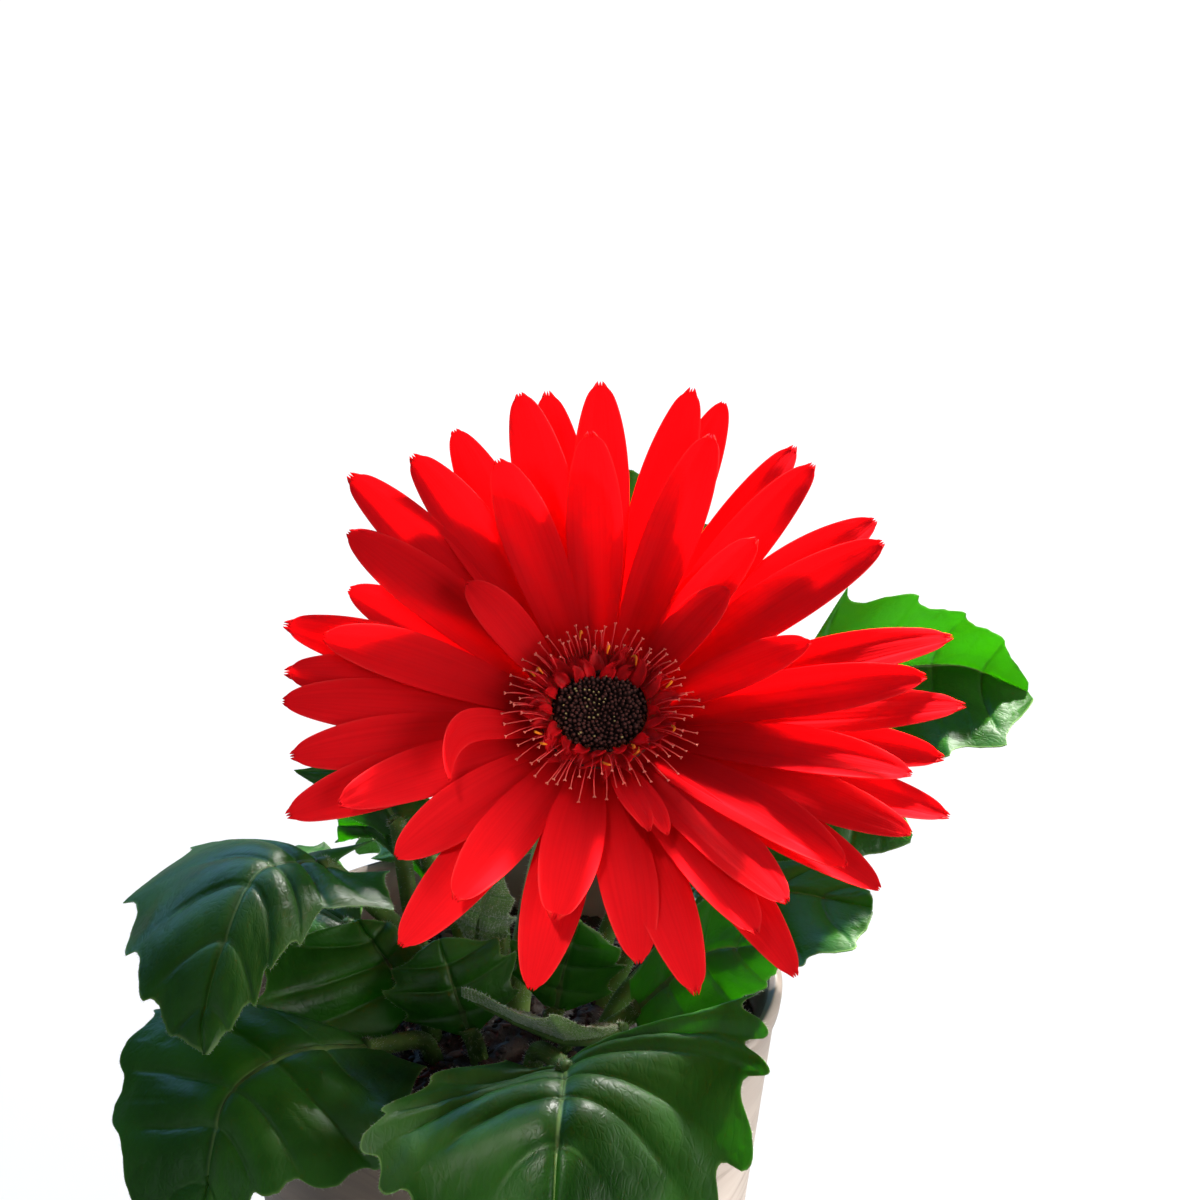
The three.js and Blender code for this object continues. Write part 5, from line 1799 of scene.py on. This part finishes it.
# Veins and the quilted swellings between them, as a height over the blade and two marks.
def leafRelief(leaf, middle, aside, along, acrosses):
    build = leafBuild
    out = np.abs(acrosses)[None]
    phase = (leaf["teeth"] * along)[:, None]
    nearest = np.round(phase)
    # How wide the gap between two side veins is at each point, in millimetres.
    step = np.linalg.norm(np.gradient(middle, along, axis=0), axis=-1) / leaf["teeth"]
    wobble = 0.05 * ripples(middle, 16, leaf["seed"] + 50)
    offVein = np.abs(phase + wobble - nearest) * step
    offBranch = np.abs(phase + 1.6 * wobble - np.floor(phase) - 0.5) * step
    inner = (nearest > 0) & (nearest < leaf["teeth"])
    veinWidth = build["veinWidth"] * (1.3 - 0.8 * out)
    fade = np.clip((1 - out) / 0.1, 0, 1)
    side = np.where(inner, np.exp(-(offVein / veinWidth) ** 2), 0) * fade
    branch = build["branchShare"] * np.exp(-(offBranch / (0.7 * veinWidth)) ** 2) * ramp(out, 0.3, 0.6) * fade
    ribWidth = build["veinWidth"] * (2.2 - 1.3 * along)[:, None]
    rib = np.exp(-(aside / ribWidth) ** 2)
    # Cross veins tie the side veins together, so that the blade swells in small quilts.
    size = build["quiltSize"] * min(max(leaf["halfWidth"] / 22, 0.5), 1.1)
    strip = np.floor(phase) + 20 * np.sign(acrosses)[None]
    cross = np.abs(aside) / size + np.sin(12.9 * strip) + 0.45 * ripples(middle, 11, leaf["seed"] + 9)
    tied = 1 - build["crossTie"] * (1 - np.abs(np.sin(math.pi * cross)) ** 0.6)
    spread = np.abs(np.sin(math.pi * (phase + wobble))) ** 0.6
    quilt = spread * tied * ramp(out, 0, 0.12) * np.clip((1 - out) / 0.15, 0, 1)
    height = build["quiltHeight"] * leaf["quilt"] * quilt
    height = height + build["crinkle"] * ripples(middle, 9, leaf["seed"]) * np.clip(3 * out, 0.15, 1)
    height = height - build["veinDepth"] * (1.3 * rib + side + branch)
    return height * (build["calm"] if leaf["young"] else 1), np.maximum(side, branch), rib


# The blade, with flat places in centimetres, along the midrib and aside of it. Returns its
# middle surface and its two sides.
def makeBlade(leaf, looks, along, acrosses):
    build = leafBuild
    centre = len(acrosses) // 2
    middle, aside, faceNormal = leafPlace(leaf, along, acrosses)
    relief, vein, rib = leafRelief(leaf, middle, aside, along, acrosses)
    middle = middle + faceNormal[:, None] * relief[..., None]
    out = np.abs(acrosses)[None]
    thin = build["edgeThickness"]
    top, bottom, normal = thicken(middle, thin + (build["thickness"] - thin) * (1 - out ** 3))
    if np.mean(np.sum((top - bottom) * faceNormal[:, None], -1)) < 0:
        top, bottom, normal = bottom, top, -normal
    points, groups = sheetShape(top, bottom, 1)
    upper = groups[0][0]
    firstFace = upper[len(upper) // 2]
    corner = points[firstFace]
    faceUp = np.cross(corner[1] - corner[0], corner[2] - corner[0])
    if np.dot(faceUp, normal.reshape(-1, 3)[firstFace[0]]) < 0:
        groups = [(faces[:, ::-1], pick) for faces, pick in groups]
    length = np.cumsum(np.linalg.norm(np.diff(middle[:, centre], axis=0, prepend=middle[:1, centre]), axis=1))
    flat = np.stack(np.broadcast_arrays(aside, length[:, None]), -1) / 10 + leaf["seed"] * 3.7
    edgeDistance = (1 - out) * np.abs(aside) / np.maximum(out, 0.05)
    marks = {"vein": vein, "midrib": rib, "rim": np.clip(1 - edgeDistance / build["rimWidth"], 0, 1)}
    marks = {key: np.tile(values.ravel(), 2) for key, values in marks.items()}
    flat = np.tile(flat.reshape(-1, 2), (2, 1))
    makePiece(leaf["name"] + "_blade", points, groups, looks, [leaf["name"]], leaf["slot"], flat, marks)
    return middle, top, bottom, normal


# The stem goes on under the blade as its midrib. Returns the stem's path and radius.
def makeStem(leaf, bottom, normal):
    shape = leafStem
    baseShare = 2 / (len(leaf["route"]) - 1)
    sunk = onRoute(leaf["route"], np.array([baseShare + shape["underBlade"]]))[0]
    path = stemPath([*leaf["route"][:3], sunk], shape["steps"])
    radius = leaf["stem"] * np.interp(np.linspace(0, 1, shape["steps"]), *shape["taper"])
    ribPart = slice(2, int(len(bottom) * shape["ribReach"]))
    centre = bottom.shape[1] // 2
    ribLine = bottom[ribPart, centre] - normal[ribPart, centre] * shape["ribSink"]
    ribTaper = (1 - np.linspace(0, 1, len(ribLine))) ** 0.8
    ribRadius = leaf["stem"] * shape["ribShare"] * ribTaper + shape["ribTip"]
    stems = Heap()
    for line, thick, sides in ((path, radius, shape["sides"]), (ribLine, ribRadius, shape["ribSides"])):
        points, wall, caps = rodShape(line, thick, sides)
        stems.add(points, [(wall, 0), (caps, 0)])
    stems.make(leaf["name"] + "_stem", [stemMaterial], [leaf["name"]], leaf["slot"])
    return path, radius


# Hairs along one margin, which leave the blade outwards.
def marginHairs(rng, margin, inward):
    build = leafBuild
    outwards = unit(margin - inward)
    gaps = np.linalg.norm(np.diff(margin, axis=0), axis=1)
    count = int(gaps.sum() / build["hairStep"])
    passed = np.concatenate([[0], np.cumsum(gaps)])
    shares = np.interp(np.linspace(0, gaps.sum(), count), passed, np.arange(len(margin)))
    shares = np.clip(shares + rng.uniform(-0.4, 0.4, count), 0, len(margin) - 1.001)
    low = shares.astype(int)
    w = (shares - low)[:, None]
    roots = margin[low] * (1 - w) + margin[low + 1] * w - outwards[low] * 0.05
    heading = outwards[low] + 0.5 * rng.normal(size=(count, 3))
    lengths = build["hairLength"] * rng.uniform(0.4, 1.1, count)
    return hairShape(roots, heading, lengths, build["hairWidth"])


# Hairs all over the two sides of a young leaf.
def bladeHairs(rng, top, bottom, normal):
    count = leafBuild["furred"]
    rows, columns = top.shape[:2]
    i = rng.integers(1, rows - 1, count)
    j = rng.integers(0, columns, count)
    upside = rng.uniform(size=count)[:, None] < 0.5
    roots = np.where(upside, top[i, j], bottom[i, j])
    heading = normal[i, j] * np.where(upside, 1, -1) + 0.8 * rng.normal(size=(count, 3))
    return hairShape(roots, heading, rng.uniform(*leafBuild["furLength"], count), leafBuild["hairWidth"])


def makeLeaf(leaf, looks, rng):
    build = leafBuild
    ribEnds = midribOf(leaf, np.linspace(0, 1, 50))[0]
    ribLength = np.linalg.norm(np.diff(ribEnds, axis=0), axis=1).sum()
    rows = int(leaf["teeth"] * max(12, ribLength / build["rowStep"] // leaf["teeth"])) + 1
    columns = build["youngColumns" if leaf["young"] else "columns"]
    acrosses = np.sin(np.linspace(-math.pi / 2, math.pi / 2, columns))
    acrosses[columns // 2] = 0
    middle, top, bottom, normal = makeBlade(leaf, looks, np.linspace(0, 1, rows), acrosses)
    path, radius = makeStem(leaf, bottom, normal)
    hairs = Heap()
    for edge, inward in ((0, 1), (-1, -2)):
        hairs.add(*marginHairs(rng, middle[:, edge], middle[:, inward]))
    path = path[leafStem["hairFrom"]:]
    radius = radius[leafStem["hairFrom"]:]
    count = int(np.linalg.norm(np.diff(path, axis=0), axis=1).sum() * build["stemHairs"])
    hairs.add(*rodHairs(rng, path, radius, count, build["stemHair"], build["hairWidth"]))
    if leaf["young"]:
        hairs.add(*bladeHairs(rng, top, bottom, normal))
    hairs.make(leaf["name"] + "_hairs", [hairMaterial], [leaf["name"]], leaf["slot"])


def makeLeaves():
    rng = np.random.default_rng(77)
    sides = [
        leafMaterial(name, leafLook[light], leafLook[dark], leafLook[glow], *surface)
        for name, light, dark, glow, *surface in leafSides
    ]
    for seed, own in enumerate(leaves, start=1):
        leaf = {**leafHabit, **own, "seed": seed}
        leaf["slot"] = "young_leaf" if leaf["young"] else "leaf"
        makeLeaf(leaf, sides[2:] if leaf["young"] else sides[:2], rng)


makeLeaves()
print("leaves made")


# Floor

# A pale floor. It glows a little by itself, so that it stays pale under the soft lamps without
# throwing their light back up, and more so far away, where it meets the sky.
floorLook = {
    "width": 9000,
    "colour": (0.16, 0.16, 0.16),
    "rough": 0.9,
    "glowNear": 0.74,
    "glowFar": 1.0,
    "thrown": 0.35,
    "near": 350,
    "far": 1300,
}


def makeFloor():
    look = floorLook
    half = look["width"] * metre / 2
    mesh = bpy.data.meshes.new("floor")
    corners = [(-half, -half, 0), (half, -half, 0), (half, half, 0), (-half, half, 0)]
    mesh.from_pydata(corners, [], [(0, 1, 2, 3)])
    material, tree, paint = newMaterial("paleFloor")
    place = addNode(tree, "TexCoord").outputs["Object"]
    reach = addNode(tree, "VectorMath", {0: place}, operation="LENGTH").outputs["Value"]
    seen = addNode(tree, "LightPath").outputs["Is Camera Ray"]
    feed(tree, paint, {
        "Base Color": rgba(look["colour"]),
        "Roughness": look["rough"],
        "Emission Color": mapRange(tree, reach, look["near"] * metre, look["far"] * metre,
                                   look["glowNear"], look["glowFar"]),
        "Emission Strength": mapRange(tree, seen, 0.0, 1.0, look["thrown"], 1.0),
    })
    mesh.materials.append(material)
    floor = link(bpy.data.objects.new("floor", mesh))


makeFloor()
